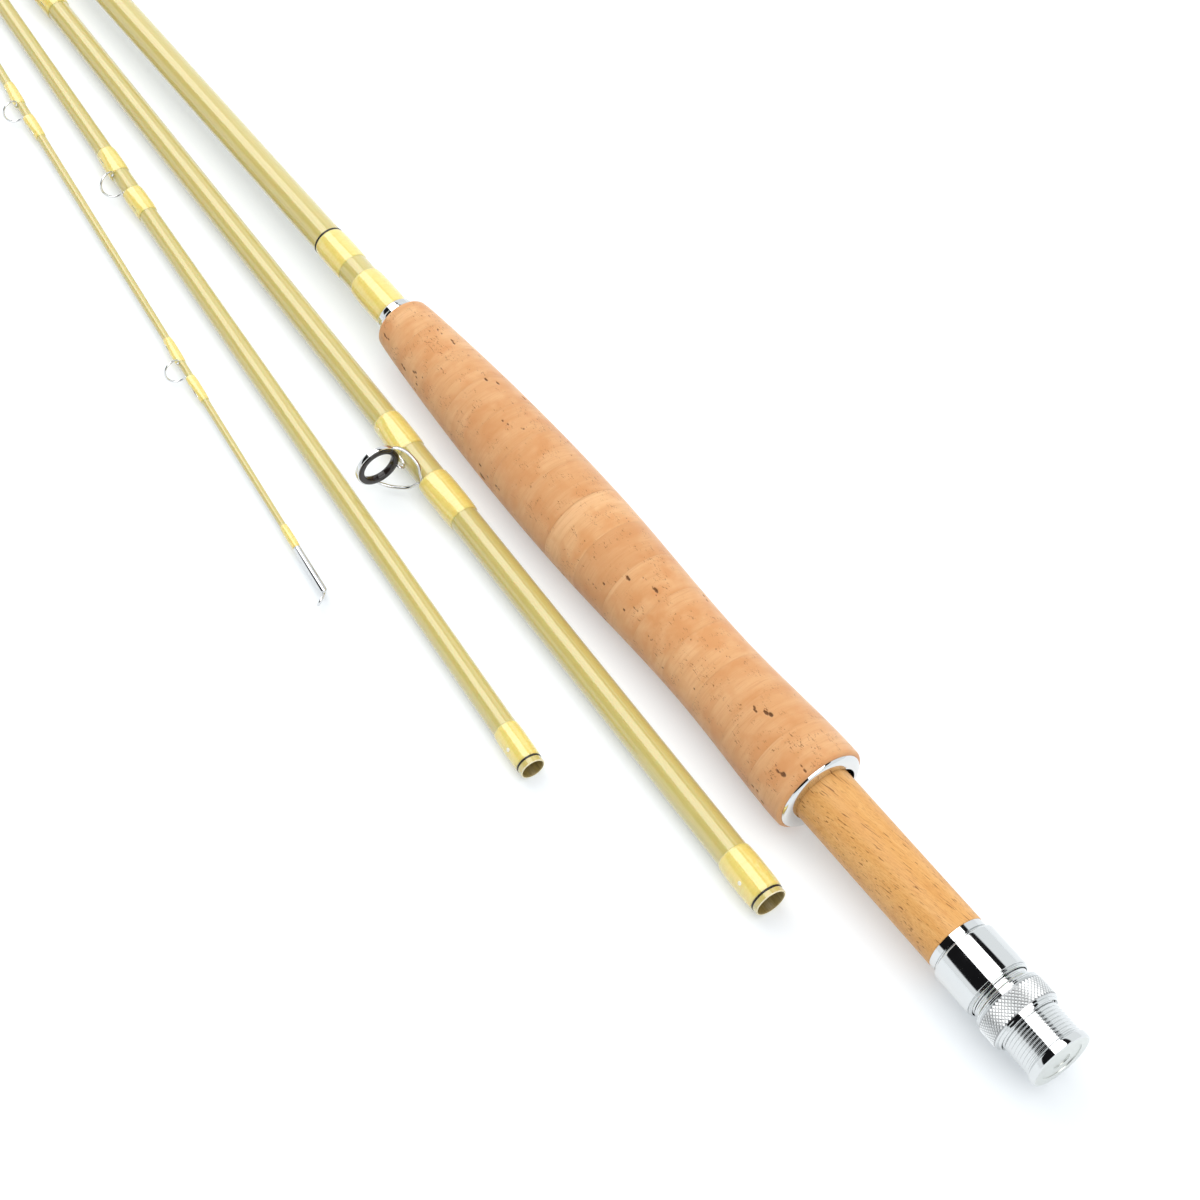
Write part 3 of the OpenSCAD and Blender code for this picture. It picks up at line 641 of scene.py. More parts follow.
class RodFinishes(bpy.types.PropertyGroup):
    """Colours of the rod's materials."""
    blank_light: colour("Blank light", "Glass fibre where its cloth is thin", (0.60, 0.505, 0.178))
    blank_dark: colour("Blank dark", "Glass fibre between its bundles", (0.56, 0.465, 0.145))
    blank_cloud: colour("Blank cloud", "Slow colour change along the blank", (0.58, 0.47, 0.135))
    rim: colour("Rim", "Sanded end of a blank", (0.66, 0.58, 0.34))
    rim_light: colour("Rim light", "Bright layers in a sanded end", (0.84, 0.78, 0.56))
    # The bore colours carry painted shade of the socket's recess on top of the resin's brown.
    bore: colour("Bore", "Inside of a socket", (0.27, 0.20, 0.055))
    bore_dark: colour("Bore dark", "Streaks inside a socket", (0.15, 0.105, 0.03))
    thread: colour("Thread", "Crown of a row of thread", (0.86, 0.685, 0.180))
    thread_shade: colour("Thread shade", "Between two rows of thread", (0.75, 0.575, 0.115))
    thread_bright: colour("Thread bright", "Where the varnish is thick", (0.90, 0.76, 0.27))
    # Painted shade on the first turns at each end of a wrap.
    thread_edge_shade: colour("Thread edge", "First turns of a wrap", (0.50, 0.42, 0.11))
    thread_width: length("Thread width", "Distance between two rows of thread", 0.24, 0.1, 0.6)
    cork: colour("Cork", "Body colour", (0.665, 0.345, 0.145))
    cork_light: colour("Cork light", "Light growth bands", (0.75, 0.445, 0.220))
    cork_dark: colour("Cork dark", "Dark growth bands", (0.53, 0.235, 0.085))
    cork_red: colour("Cork red", "Reddish areas", (0.62, 0.28, 0.100))
    # Partly the cork's own dark pit colour, partly painted shade at the bottom of a pit.
    cork_pit: colour("Pit", "Bottom of a pit", (0.075, 0.028, 0.008))
    cork_pit_rim: colour("Pit rim", "Edge of a pit and specks", (0.26, 0.105, 0.032))
    wood: colour("Wood", "Body of the insert", (0.68, 0.345, 0.100))
    wood_light: colour("Wood light", "Light growth bands", (0.75, 0.425, 0.155))
    wood_red: colour("Wood red", "Warm fibres", (0.57, 0.245, 0.06))
    wood_dark: colour("Wood dark", "Flecks and pores", (0.24, 0.085, 0.018))


class StageSettings(bpy.types.PropertyGroup):
    """Camera, floor and lights."""
    look_ahead: length("Look ahead", "How far in front of the butt cap the camera looks", 170.2)
    look_aside: length("Look aside", "How far from the butt section's axis the camera looks", 10.6)
    distance: length("Camera distance", "Distance from the camera to that point", 684.0, 100, 3000)
    azimuth: angle("Azimuth", "Direction that the camera stands in", 234.2)
    elevation: angle("Elevation", "Height of the camera as an angle", 55)
    lens: length("Lens", "Focal length on a 36 mm sensor", 78.0, 20, 300)
    floor_size: length("Floor size", "Side of the square floor", 9000.0)
    floor: colour("Floor", "Pale floor", (0.565, 0.58, 0.59))
    # The floor's glow is painted fill light: it lifts the shadows round the rod and is stronger far from it.
    glow: colour("Glow", "Light that comes up through the floor", (0.91, 0.96, 1.0))
    glow_strength: number("Glow strength", "How much light the floor gives", 0.39)
    far_glow: number("Far glow", "Floor's own light far from the rod", 0.95)
    key_power: number("Key power", "Overhead soft box in watts", 43.0)
    wall: colour("Walls", "Pale walls round the table", (0.94, 0.98, 1.0))
    ceiling: colour("Ceiling", "Dark ceiling round the soft box", (0.010, 0.010, 0.011))


class GripSettings(bpy.types.PropertyGroup):
    """Sizes of the cork grip's details."""
    around: count_of("Steps around", "Facets round a ring", 300, 48)
    along: count_of("Steps along", "Rows along a ring", 34, 4)
    pits: count_of("Pits", "Pits in an average ring", 8)
    pit_depth: length("Pit depth", "Depth of the deepest pits", 0.45)
    seam: length("Seam", "Depth of the groove between two rings", 0.035)
    seed: count_of("Seed", "Chooses another set of pits", 7)


class SeatSettings(bpy.types.PropertyGroup):
    """Sizes of the reel seat's details."""
    pitch: length("Pitch", "Pitch of the barrel's thread", 1.0, 0.5, 2)
    thread_depth: length("Thread depth", "Depth of the barrel's thread", 0.40)
    knurls: count_of("Knurls", "Diamonds round the lock nut", 56, 20)
    knurl_height: length("Knurl height", "Height of a diamond", 0.28)


class WrapSettings(bpy.types.PropertyGroup):
    """Sizes of the thread wraps."""
    joint_rise: length("Joint rise", "Varnish over a joint wrap", 0.52)
    guide_rise: length("Guide rise", "Varnish over a guide's foot", 0.46)
    foot_ridge: length("Foot ridge", "How far a guide's foot lifts the wrap", 0.55)
    trim_rise: length("Trim rise", "Thickness of the dark trim", 0.14)


class GuideSettings(bpy.types.PropertyGroup):
    """Sizes of the guides."""
    wire_sides: count_of("Wire sides", "Facets round a wire", 14, 6)
    turn_steps: count_of("Turn steps", "Steps along a snake guide's turn", 64, 16)


# ---------- pieces ----------

class ROD_OT_lay_stage(bpy.types.Operator):
    """Sets up the camera, the pale floor and the soft studio light"""
    bl_idname = "rod.lay_stage"
    bl_label = "Lay Stage"

    BOX_HEIGHT = 1.25
    BOX_LENGTH = 4.6
    BOX_SPREAD = math.radians(24.5)
    GLOW_REACH = (0.6, 2.4)
    WALL_SLOPE = 0.29
    WALL_TOP = (0.53, 0.58)

    def execute(self, context):
        stage = context.scene.rod_stage
        target = SECTIONS[BUTT] @ (Vector((stage.look_ahead, stage.look_aside, 0)) * MM)
        self.camera(context, stage, target)
        self.floor(stage)
        self.soft_box(stage, target)
        self.walls(context, stage)
        context.scene.view_settings.view_transform = "Standard"
        return {"FINISHED"}

    def camera(self, context, stage, target):
        level = math.cos(stage.elevation)
        back = Vector((math.sin(stage.azimuth) * level, -math.cos(stage.azimuth) * level,
                       math.sin(stage.elevation)))
        lens = bpy.data.cameras.new("studio_camera")
        lens.lens = stage.lens
        lens.sensor_width = 36
        lens.clip_start = 0.01
        camera = bpy.data.objects.new("studio_camera", lens)
        context.scene.collection.objects.link(camera)
        camera.location = target + back * stage.distance * MM
        camera.rotation_euler = (-back).to_track_quat("-Z", "Y").to_euler()
        context.scene.camera = camera

    def floor(self, stage):
        bm = bmesh.new()
        bmesh.ops.create_grid(bm, x_segments=1, y_segments=1, size=stage.floor_size / 2 * MM)
        mesh = bpy.data.meshes.new("floor")
        bm.to_mesh(mesh)
        bm.free()
        recipe = Recipe("pale_floor", Roughness=0.9, Specular_IOR_Level=0.1)
        recipe.shader.inputs["Base Color"].default_value = (*stage.floor, 1)
        # The floor glows: painted fill light that lifts the shadows round the rod, brighter far from it.
        recipe.shader.inputs["Emission Color"].default_value = (*stage.glow, 1)
        place = recipe.node("TexCoord").outputs["Object"]
        reach = recipe.node("VectorMath", [(0, place)], operation="LENGTH").outputs["Value"]
        near, far = self.GLOW_REACH
        glow = recipe.node("MapRange", [("Value", reach), ("From Min", near), ("From Max", far),
                                        ("To Min", stage.glow_strength), ("To Max", stage.far_glow)])
        recipe.set(Emission_Strength=glow.outputs["Result"])
        mesh.materials.append(recipe.material)
        floor = bpy.data.objects.new("floor", mesh)
        bpy.context.scene.collection.objects.link(floor)

    def soft_box(self, stage, target):
        """A long soft box straight above the rod, lying along it."""
        light = bpy.data.lights.new("soft_box", "AREA")
        light.shape = "RECTANGLE"
        light.size = self.BOX_LENGTH
        light.size_y = 2 * self.BOX_HEIGHT * math.tan(self.BOX_SPREAD)
        light.energy = stage.key_power
        box = bpy.data.objects.new("soft_box", light)
        bpy.context.scene.collection.objects.link(box)
        box.location = target + Vector((0, 0, self.BOX_HEIGHT))

    def walls(self, context, stage):
        """Pale walls, higher on one side of the rod, and a dark ceiling for the metal to mirror."""
        world = bpy.data.worlds.new("studio")
        world.use_nodes = True
        context.scene.world = world
        tree = world.node_tree
        place = tree.nodes.new("ShaderNodeTexCoord")
        height = tree.nodes.new("ShaderNodeVectorMath")
        height.operation = "DOT_PRODUCT"
        height.inputs[1].default_value = (0, self.WALL_SLOPE, 1)
        ramp = tree.nodes.new("ShaderNodeValToRGB")
        tree.links.new(place.outputs["Generated"], height.inputs[0])
        tree.links.new(height.outputs["Value"], ramp.inputs["Fac"])
        tree.links.new(ramp.outputs["Color"], tree.nodes["Background"].inputs["Color"])
        wall, ceiling = ramp.color_ramp.elements
        wall.position, ceiling.position = self.WALL_TOP
        wall.color = (*stage.wall, 1)
        ceiling.color = (*stage.ceiling, 1)


class ROD_OT_turn_blanks(bpy.types.Operator):
    """Turns the four glass-fibre blanks with their sockets and ground male ends"""
    bl_idname = "rod.turn_blanks"
    bl_label = "Turn Blanks"

    WALL = 1.05
    STEPS = 72
    FINISHES = ("blank", "rim", "bore", "ground_end")
    RIM, BORE, GROUND_END = 1, 2, 3

    def execute(self, context):
        self.butt()
        for section, node, socket in ((LOWER, "lower_mid_blank", "lower_mid_socket"),
                                      (UPPER, "upper_mid_blank", "upper_mid_socket"),
                                      (TIP, "tip_blank", "tip_socket")):
            self.loose(section, node, mount_of(socket)["dims"])
        return {"FINISHED"}

    def tapered(self, section, start, end, pieces):
        """Outline along the outside of a blank from start to end, in a number of pieces."""
        stations = sorted({start, end, *(float(x) for x in PROFILES[section][0] if start < x < end),
                           *np.linspace(start, end, pieces + 1).tolist()})
        return [(x, blank_radius(section, x)) for x in stations]

    def butt(self):
        start, end = span_of("butt_blank")
        outer = self.tapered(BUTT, start, end, 30)
        inner = [(end, outer[-1][1] - 0.75), (start, outer[0][1] - self.WALL)]
        bm = lathe(outer + inner, self.STEPS)
        self.paint(bm, end, 0, mount_of("butt_male_end")["dims"])
        finish_piece(bm, "butt_tube", BUTT, self.FINISHES, ["butt_blank"])

    def loose(self, section, node, socket):
        start, end = span_of(node)
        radius = socket["r_mm"]
        depth = socket["length_mm"]
        outer = self.tapered(section, start + 0.2, end, 30)
        lip = outer[0][1]
        far_bore = 0.35 if section == TIP else max(outer[-1][1] - 0.45, 0.3)
        inner = [(end, far_bore), (depth + 1.5, radius * 0.75), (depth, radius), (start + 0.35, radius),
                 (start + 0.08, radius + 0.18), (start, radius + 0.32), (start, lip - 0.14)]
        bm = lathe(outer + inner, self.STEPS)
        male = {"length_mm": end - self.shoulder(section)} if section != TIP else None
        self.paint(bm, end, radius, male)
        finish_piece(bm, node.replace("blank", "tube"), section, self.FINISHES, [node])

    def shoulder(self, section):
        """Station where the ground male end starts: the last step down in the profile."""
        stations, radii = PROFILES[section]
        return float(stations[len(stations) - 3])

    def paint(self, bm, end, socket_radius, male):
        """Rims are bare, bores are brown with painted shade, and male ends are ground."""
        for f in bm.faces:
            centre = f.calc_center_median()
            away = Vector((0, centre.y, centre.z))
            facing = f.normal.dot(away)
            if facing < -0.01 * away.length and abs(f.normal.x) < 0.9:
                f.material_index = self.BORE
            elif abs(f.normal.x) > 0.35 and centre.x < 1 or (socket_radius and centre.x < 1.45):
                f.material_index = self.RIM
            elif male and centre.x > end - male["length_mm"] - 0.3:
                f.material_index = self.GROUND_END
            elif abs(f.normal.x) > 0.9:
                f.material_index = self.RIM


class ROD_OT_shape_grip(bpy.types.Operator):
    """Sands the fifteen cork rings to the grip's shape and opens their pits"""
    bl_idname = "rod.shape_grip"
    bl_label = "Shape Grip"

    HOOD_BORE = 11.0
    SEAM_WIDTH = 0.12

    def execute(self, context):
        grip = context.scene.rod_grip
        names = [f"cork_ring_{k:02d}" for k in range(1, CORK_RINGS + 1)]
        profiles = [outer_profile(name, 1.5, 6) for name in names]
        stations = np.concatenate([p[0] for p in profiles])
        radii = np.concatenate([p[1] for p in profiles])
        order = np.argsort(stations, kind="stable")
        self.profile = stations[order], radii[order]
        self.rear = stations.min()
        chance = random.Random(grip.seed)
        for name in names:
            self.ring(name, grip, chance)
        return {"FINISHED"}

    def ring(self, name, grip, chance):
        start, end = span_of(name)
        last = name == f"cork_ring_{CORK_RINGS:02d}"
        bore = self.HOOD_BORE if last else blank_radius(BUTT, (start + end) / 2)
        stations, radii = self.profile
        inside = [float(x) for x in np.unique(stations) if start < x < end]
        even = np.linspace(start, end, grip.along + 1)[1:-1].tolist()
        places = [x for x in even if all(abs(x - y) > self.SEAM_WIDTH for y in inside)] + inside
        outer = [(x, float(np.interp(x, stations, radii))) for x in sorted([start, end, *places])]
        if start > stations.min() + 1:
            outer[0] = (outer[0][0], outer[0][1] - grip.seam)
            outer.insert(1, (start + self.SEAM_WIDTH, outer[1][1]))
        if end < stations.max() - 1:
            outer[-1] = (outer[-1][0], outer[-1][1] - grip.seam)
            outer.insert(-1, (end - self.SEAM_WIDTH, outer[-2][1]))
        bm = lathe(outer + [(end, bore), (start, bore)], grip.around, COARSE_WELD)
        self.open_pits(bm, start, end, bore, grip, chance)
        finish_piece(bm, name + "_sanded", BUTT, ["cork"], [name])

    def open_pits(self, bm, start, end, bore, grip, chance):
        """Sinks pits of many sizes, mostly stretched along the grip, and notes how deep each corner is."""
        pit = bm.verts.layers.float.new("pit")
        tone = bm.verts.layers.float.new("tone")
        ring = bm.verts.layers.float.new("ring")
        corners = list(bm.verts)
        place = np.array([v.co for v in corners])
        radius = np.hypot(place[:, 1], place[:, 2])
        around = np.arctan2(place[:, 2], place[:, 1])
        depth = np.zeros(len(corners))
        ragged = np.array([noise.noise(v.co * 1.9) for v in corners])
        skin = radius > bore + 0.4
        count = int(grip.pits * chance.choice((0.3, 0.6, 0.8, 1.0, 1.2, 1.9)))
        for _ in range(count):
            middle = chance.uniform(start + 0.8, end - 0.8)
            turn = chance.uniform(-math.pi, math.pi)
            big = chance.random() ** 2.2
            for _ in range(chance.choice((1, 1, 2, 3))):
                long = 0.28 + 0.75 * big * chance.uniform(0.4, 1)
                wide = 0.17 + 0.24 * big * chance.uniform(0.4, 1)
                apart = (np.mod(around - turn + math.pi, math.tau) - math.pi) * radius
                reach = ((place[:, 0] - middle) / long) ** 2 + (apart / wide) ** 2
                reach = reach * (1 + 0.9 * ragged)
                hole = (0.35 + 0.65 * big) * grip.pit_depth * np.exp(-np.maximum(reach, 0) ** 1.6)
                depth = np.maximum(depth, hole * skin)
                middle += chance.uniform(-2.2, 2.2)
                turn += chance.uniform(-0.6, 0.6) / 12
        edge = np.clip(np.minimum(place[:, 0] - start, end - place[:, 0]) / 0.3, 0, 1)
        depth *= edge
        waves = 0.018 * np.array([noise.noise(v.co * 0.22) for v in corners]) * skin
        shade = chance.choice((0.0, 0.10, 0.20, 0.32, 0.48))
        number = chance.uniform(0, 90)
        for i, v in enumerate(corners):
            push_out(v, waves[i] - depth[i])
            # The pit depth also sets how much painted shade the pit walls get.
            v[pit] = depth[i] / grip.pit_depth * 2.2
            v[tone] = shade + 0.4 * max(0.0, 1 - (place[i][0] - self.rear) / 0.8)
            v[ring] = number


def dome(share):
    """How full the varnish is over a wrap, at a share of its length."""
    return 0.45 + 0.55 * (1 - abs(2 * share - 1) ** 3.5)


def wrap_outline(section, start, end, rise, count=40):
    """Outline of a varnished wrap: a soft bulge that runs out on the blank at both ends."""
    run_out = 0.12
    outer = []
    for i in range(count + 1):
        full = run_out if i in (0, count) else dome(i / count)
        x = start + (end - start) * (i / count)
        outer.append((x, blank_radius(section, x) + rise * full))
    inner = [(end, outer[-1][1] - 0.4), (start, outer[0][1] - 0.4)]
    return outer + inner


def wind_wrap(section, start, end, rise, name, replaces, towards=None, foot_end=None, ridge=0.0):
    """One thread wrap; towards is the side of a guide's foot, which comes out of it at foot_end."""
    bm = lathe(wrap_outline(section, start, end, rise), 96, COARSE_WELD)
    edge = bm.verts.layers.float.new("edge")
    for v in bm.verts:
        near = min(v.co.x - start, end - v.co.x)
        # edge carries how much painted shade a wrap's first turns get, strongest at each end.
        v[edge] = 0.75 * max(0.0, 1 - near / 0.45)
        if radius_at(v.co) < blank_radius(section, v.co.x) - 0.1:
            continue
        lift = 0.02 * noise.noise(v.co * 0.35) * min(near, 1)
        if towards is not None:
            turn = math.atan2(v.co.z, v.co.y) - towards
            beside = math.cos(turn)
            far = abs(v.co.x - foot_end) / (end - start)
            lift += ridge * max(beside, 0) ** 5 * max(0.0, 1 - far * 1.15) ** 0.7 * min(1.0, near / 0.25)
        push_out(v, lift)
    finish_piece(bm, name, section, ["thread"], replaces)


class ROD_OT_wind_wraps(bpy.types.Operator):
    """Winds the thread wraps on all four sections, with their dark trims and alignment dots"""
    bl_idname = "rod.wind_wraps"
    bl_label = "Wind Wraps"

    PLAIN_WRAPS = {"grip_wrap": 0.55, "label_wrap": 0.30, "tip_top_wrap": 0.3}
    JOINT_WRAPS = {"lower_mid_joint_wrap": 1, "upper_mid_joint_wrap": 0.6, "tip_joint_wrap": 0.45}
    DOT_TURN = math.radians(32)
    DOT_RADIUS = 0.62
    GUIDE_WRAPS = (
        ("lower_mid_snake_wraps", ("lower_mid_snake",), 1.15),
        ("upper_mid_snake_wraps", ("upper_mid_snake_1", "upper_mid_snake_2"), 0.9),
        ("tip_snake_wraps", ("tip_snake_1", "tip_snake_2", "tip_snake_3", "tip_snake_4"), 0.75),
    )

    def execute(self, context):
        wraps = context.scene.rod_wraps
        for node, rise in self.PLAIN_WRAPS.items():
            self.plain(node, rise)
        for node, share in self.JOINT_WRAPS.items():
            self.plain(node, wraps.joint_rise * share)
        self.stripping(wraps)
        for node, guides, share in self.GUIDE_WRAPS:
            self.over_feet(node, guides, wraps, share)
        for node in ("label_trim", "lower_mid_joint_trim", "upper_mid_joint_trim", "tip_joint_trim"):
            self.trim(node, wraps)
        self.dot("lower_mid_dot", LOWER, "lower_mid_joint_wrap", 0.40, wraps.joint_rise)
        self.dot("upper_mid_dot", UPPER, "upper_mid_joint_wrap", 0.42, wraps.joint_rise * 0.6)
        return {"FINISHED"}

    def plain(self, node, rise):
        section = section_of(node)
        start, end = span_of(node)
        wind_wrap(section, start, end, rise, node + "_varnished", [node])

    def stripping(self, wraps):
        node = "stripping_guide_wraps"
        towards = leaning_of("stripping_guide_ring")
        (a, b), (c, d) = stretches_of(node)
        ridge = wraps.foot_ridge * 1.5
        wind_wrap(LOWER, a, b, wraps.guide_rise * 1.15, "stripping_rear_wrap", [node], towards, b, ridge)
        wind_wrap(LOWER, c, d, wraps.guide_rise, "stripping_front_wrap", [], towards, c, ridge)

    def over_feet(self, node, guides, wraps, share):
        section = section_of(node)
        stretches = stretches_of(node)
        middles = {guide: sum(span_of(guide)) / 2 for guide in guides}
        for number, (a, b) in enumerate(stretches, start=1):
            guide = min(guides, key=lambda g: abs(middles[g] - (a + b) / 2))
            foot_end = min((a, b), key=lambda x: abs(x - middles[guide]))
            wind_wrap(section, a, b, wraps.guide_rise * share, f"{node}_{number}",
                      [node] if number == 1 else [], leaning_of(guide), foot_end, wraps.foot_ridge * share)

    def trim(self, node, wraps):
        section = section_of(node)
        start, end = span_of(node)
        middle = (start + end) / 2
        radius = blank_radius(section, middle)
        half = (end - start) / 2
        outline = [(middle + half * math.cos(math.pi * i / 8),
                    radius + wraps.trim_rise * math.sin(math.pi * i / 8)) for i in range(9)]
        bm = lathe(outline + [(start, radius - 0.3), (end, radius - 0.3)], 72, COARSE_WELD)
        finish_piece(bm, node + "_thread", section, ["trim"], [node])

    def dot(self, name, section, wrap, share, rise):
        """A drop of paint on the upper side of a joint wrap."""
        start, end = span_of(wrap)
        station = start + (end - start) * share
        radius = blank_radius(section, station) + rise * dome(share)
        bm = bmesh.new()
        bmesh.ops.create_uvsphere(bm, u_segments=20, v_segments=10, radius=self.DOT_RADIUS)
        bmesh.ops.scale(bm, verts=bm.verts, vec=(1, 1, 0.16))
        for v in bm.verts:
            v.co.z -= v.co.y**2 / (2 * radius)
        bmesh.ops.translate(bm, verts=bm.verts, vec=(station, 0, radius - 0.03))
        roll(bm, self.DOT_TURN)
        finish_piece(bm, name, section, ["dot"])


class ROD_OT_build_seat(bpy.types.Operator):
    """Builds the reel seat: hoods, wooden insert, threaded barrel, lock nut and butt cap"""
    bl_idname = "rod.build_seat"
    bl_label = "Build Reel Seat"

    STEPS = 128
    BARREL_BORE = 6.6
    INSERT_BORE = 5.75
    TENON = 8.0

    def execute(self, context):
        seat = context.scene.rod_seat
        self.winding_check()
        self.fixed_hood()
        self.insert()
        self.barrel(seat)
        self.butt_cap()
        self.sliding_hood()
        self.lock_nut(seat)
        for node, name in (("slip_washer", "nylon"), ("seat_arbors", "tape")):
            shown = frame["nodes"][node]
            shown.data.materials.clear()
            shown.data.materials.append(finish(name))
        return {"FINISHED"}

    def metal(self, outline, name, body, node):
        finish_piece(lathe(outline, self.STEPS), name, body, ["chrome", "spun_face"], [node])

    def winding_check(self):
        a, b = span_of("winding_check")
        self.metal([(a, 4.9), (a, 6.4), *arc((a + 0.45, 6.15), 0.45, 180, 90, 5),
                    *arc((a + 1.25, 6.2), 0.4, 90, 20, 5), (a + 1.8, 5.95), (a + 2.0, 5.86),
                    (a + 2.3, 5.88), *arc((b - 0.75, 5.3), 0.6, 90, 0, 6), (b, 4.9)],
                   "winding_check_turned", BUTT, "winding_check")

    def fixed_hood(self):
        low, high = span_of("fixed_hood")
        rim = low + 1.2
        lip = [(rim - 1.2 * math.cos(a), 10.2 + 2.08 * math.sin(a)) for a in np.linspace(0.12, 1.5, 12)]
        bm = lathe([(low + 0.25, 8.35), (low + 0.12, 8.5), (low, 8.7), (low, 10.2), *lip,
                    (rim, 12.2), (rim, 11.02), (high, 11.02), (high, 8.35)], self.STEPS)
        pocket = bmesh.new()
        side = self.reel_side()
        turned(pocket, [(low - 1, 0), (low - 1, 8.3), (high - 1.4, 8.3), (high - 1.4, 0)], self.STEPS)
        bmesh.ops.remove_doubles(pocket, verts=pocket.verts, dist=WELD)
        bmesh.ops.translate(pocket, verts=pocket.verts, vec=side * 2.0)
        hood = cut_away(bm, pocket)
        weld(hood)
        finish_piece(hood, "fixed_hood_turned", BUTT, ["chrome"], ["fixed_hood"])

    def reel_side(self):
        """The way that the reel's foot faces, from the record's seat mount."""
        return SECTIONS[BUTT].to_3x3().inverted() @ Vector(mount_of("reel_foot_seat")["axis"])

    def insert(self):
        _, high = span_of("seat_insert")
        _, barrel_end = span_of("thread_barrel")
        bm = lathe([(self.TENON, self.INSERT_BORE), (self.TENON, self.BARREL_BORE - 0.02),
                    (barrel_end, self.BARREL_BORE - 0.02), (barrel_end + 0.02, 8.1), (barrel_end + 0.2, 8.3),
                    (high, 8.3), (high, self.INSERT_BORE)], self.STEPS)
        side = self.reel_side()
        cutter = bmesh.new()
        bmesh.ops.create_cube(cutter, size=1)
        bmesh.ops.scale(cutter, verts=cutter.verts, vec=(high - barrel_end, 20, 6))
        upright = Vector((0, 0, 1)).rotation_difference(side).to_matrix().to_4x4()
        bmesh.ops.transform(cutter, matrix=upright, verts=cutter.verts)
        middle = barrel_end + 8 + (high - barrel_end) / 2
        bmesh.ops.translate(cutter, verts=cutter.verts, vec=Vector((middle, 0, 0)) + side * (6.8 + 3))
        wood = cut_away(bm, cutter)
        weld(wood)
        finish_piece(wood, "beech_insert", BUTT, ["wood"], ["seat_insert"])

    def barrel(self, seat):
        """A true helical thread, cut off square at both ends and closed with the barrel's bore."""
        a, b = span_of("thread_barrel")
        collar_width = 1.9
        collar = b - collar_width
        crest = 8.2
        root = crest - seat.thread_depth
        turns = math.ceil((b - a) / seat.pitch) + 2
        tooth = [(i / 8, root + seat.thread_depth * (1 - math.cos(math.tau * i / 8)) / 2) for i in range(9)]
        steps = 96
        bm = bmesh.new()
        corners = [bm.verts.new((a + (x - 1) * seat.pitch, r, 0)) for x, r in tooth]
        edges = [bm.edges.new(pair) for pair in zip(corners, corners[1:])]
        bmesh.ops.spin(bm, geom=corners + edges, cent=(0, 0, 0), axis=(1, 0, 0), angle=math.tau, steps=steps,
                       dvec=(seat.pitch / steps, 0, 0))
        one_turn = bm.verts[:] + bm.edges[:] + bm.faces[:]
        for i in range(1, turns):
            copy = bmesh.ops.duplicate(bm, geom=one_turn)["geom"]
            bmesh.ops.translate(bm, verts=only(copy, bmesh.types.BMVert), vec=(i * seat.pitch, 0, 0))
        bmesh.ops.remove_doubles(bm, verts=bm.verts, dist=COARSE_WELD)
        loops = []
        for station, way in ((a, -1), (collar, 1)):
            cut = bmesh.ops.bisect_plane(bm, geom=bm.verts[:] + bm.edges[:] + bm.faces[:], dist=1e-5,
                                         plane_co=(station, 0, 0), plane_no=(way, 0, 0), clear_outer=True)
            loops.append(only(cut["geom_cut"], bmesh.types.BMEdge))
        bores = []
        growth = (((self.BARREL_BORE,), 0), ((crest, crest, self.BARREL_BORE), collar_width))
        for loop, (grow_to, shift) in zip(loops, growth):
            edges = loop
            for i, radius in enumerate(grow_to):
                grown = bmesh.ops.extrude_edge_only(bm, edges=edges)["geom"]
                ring = set(only(grown, bmesh.types.BMVert))
                for v in ring:
                    push_out(v, radius - radius_at(v.co))
                    if i == 1:
                        v.co.x += shift
                edges = [e for e in only(grown, bmesh.types.BMEdge) if all(v in ring for v in e.verts)]
            bores += edges
        bmesh.ops.bridge_loops(bm, edges=bores)
        bmesh.ops.recalc_face_normals(bm, faces=bm.faces)
        finish_piece(bm, "threaded_barrel", BUTT, ["chrome"], ["thread_barrel"], 60)

    def butt_cap(self):
        a, b = span_of("butt_cap")
        flange = a + 2.2
        radius = 8.75
        bm = bmesh.new()
        turned(bm, [(a + 0.42, 0), (a + 0.42, 2.2), *arc((a + 0.30, 2.45), 0.14, 30, 150, 4),
                    (a + 0.26, 3.0), (a + 0.26, 5.7), *arc((a + 0.14, 6.15), 0.16, -60, -180, 4),
                    (a, 6.4), (a, radius - 0.5), *arc((a + 0.4, radius - 0.4), 0.4, 190, 90, 6),
                    (flange - 0.5, radius), (flange - 0.2, radius - 0.1), (flange, radius - 0.4),
                    (flange, self.BARREL_BORE - 0.02), (b, self.BARREL_BORE - 0.02), (b, 5.32),
                    (a + 2.5, 5.32), (a + 2.5, 0)], self.STEPS)
        weld(bm)
        for f in bm.faces:
            if radius_at(f.calc_center_median()) < 8.2 and f.calc_center_median().x < a + 0.6:
                f.material_index = 1
        finish_piece(bm, "butt_cap_turned", BUTT, ["chrome", "spun_face"], ["butt_cap"], 25)

    def sliding_hood(self):
        a, b = span_of("sliding_hood")
        bore, radius = 8.45, 9.2
        grooves = [(a + 0.02 + 0.225 * i, 8.62 if i % 2 == 0 else 8.90) for i in range(5)]
        self.metal([(a, bore), *grooves, (a + 1.0, 8.62), (a + 1.02, radius - 0.3),
                    *arc((a + 1.24, radius - 0.22), 0.22, 180, 90, 4), (b - 1.3, radius),
                    (b - 0.7, radius - 0.02), *arc((b - 0.5, radius - 0.5), 0.48, 78, 8, 7), (b, bore + 0.1),
                    (b - 0.1, bore)],
                   "sliding_hood_turned", "sliding_hood", "sliding_hood")

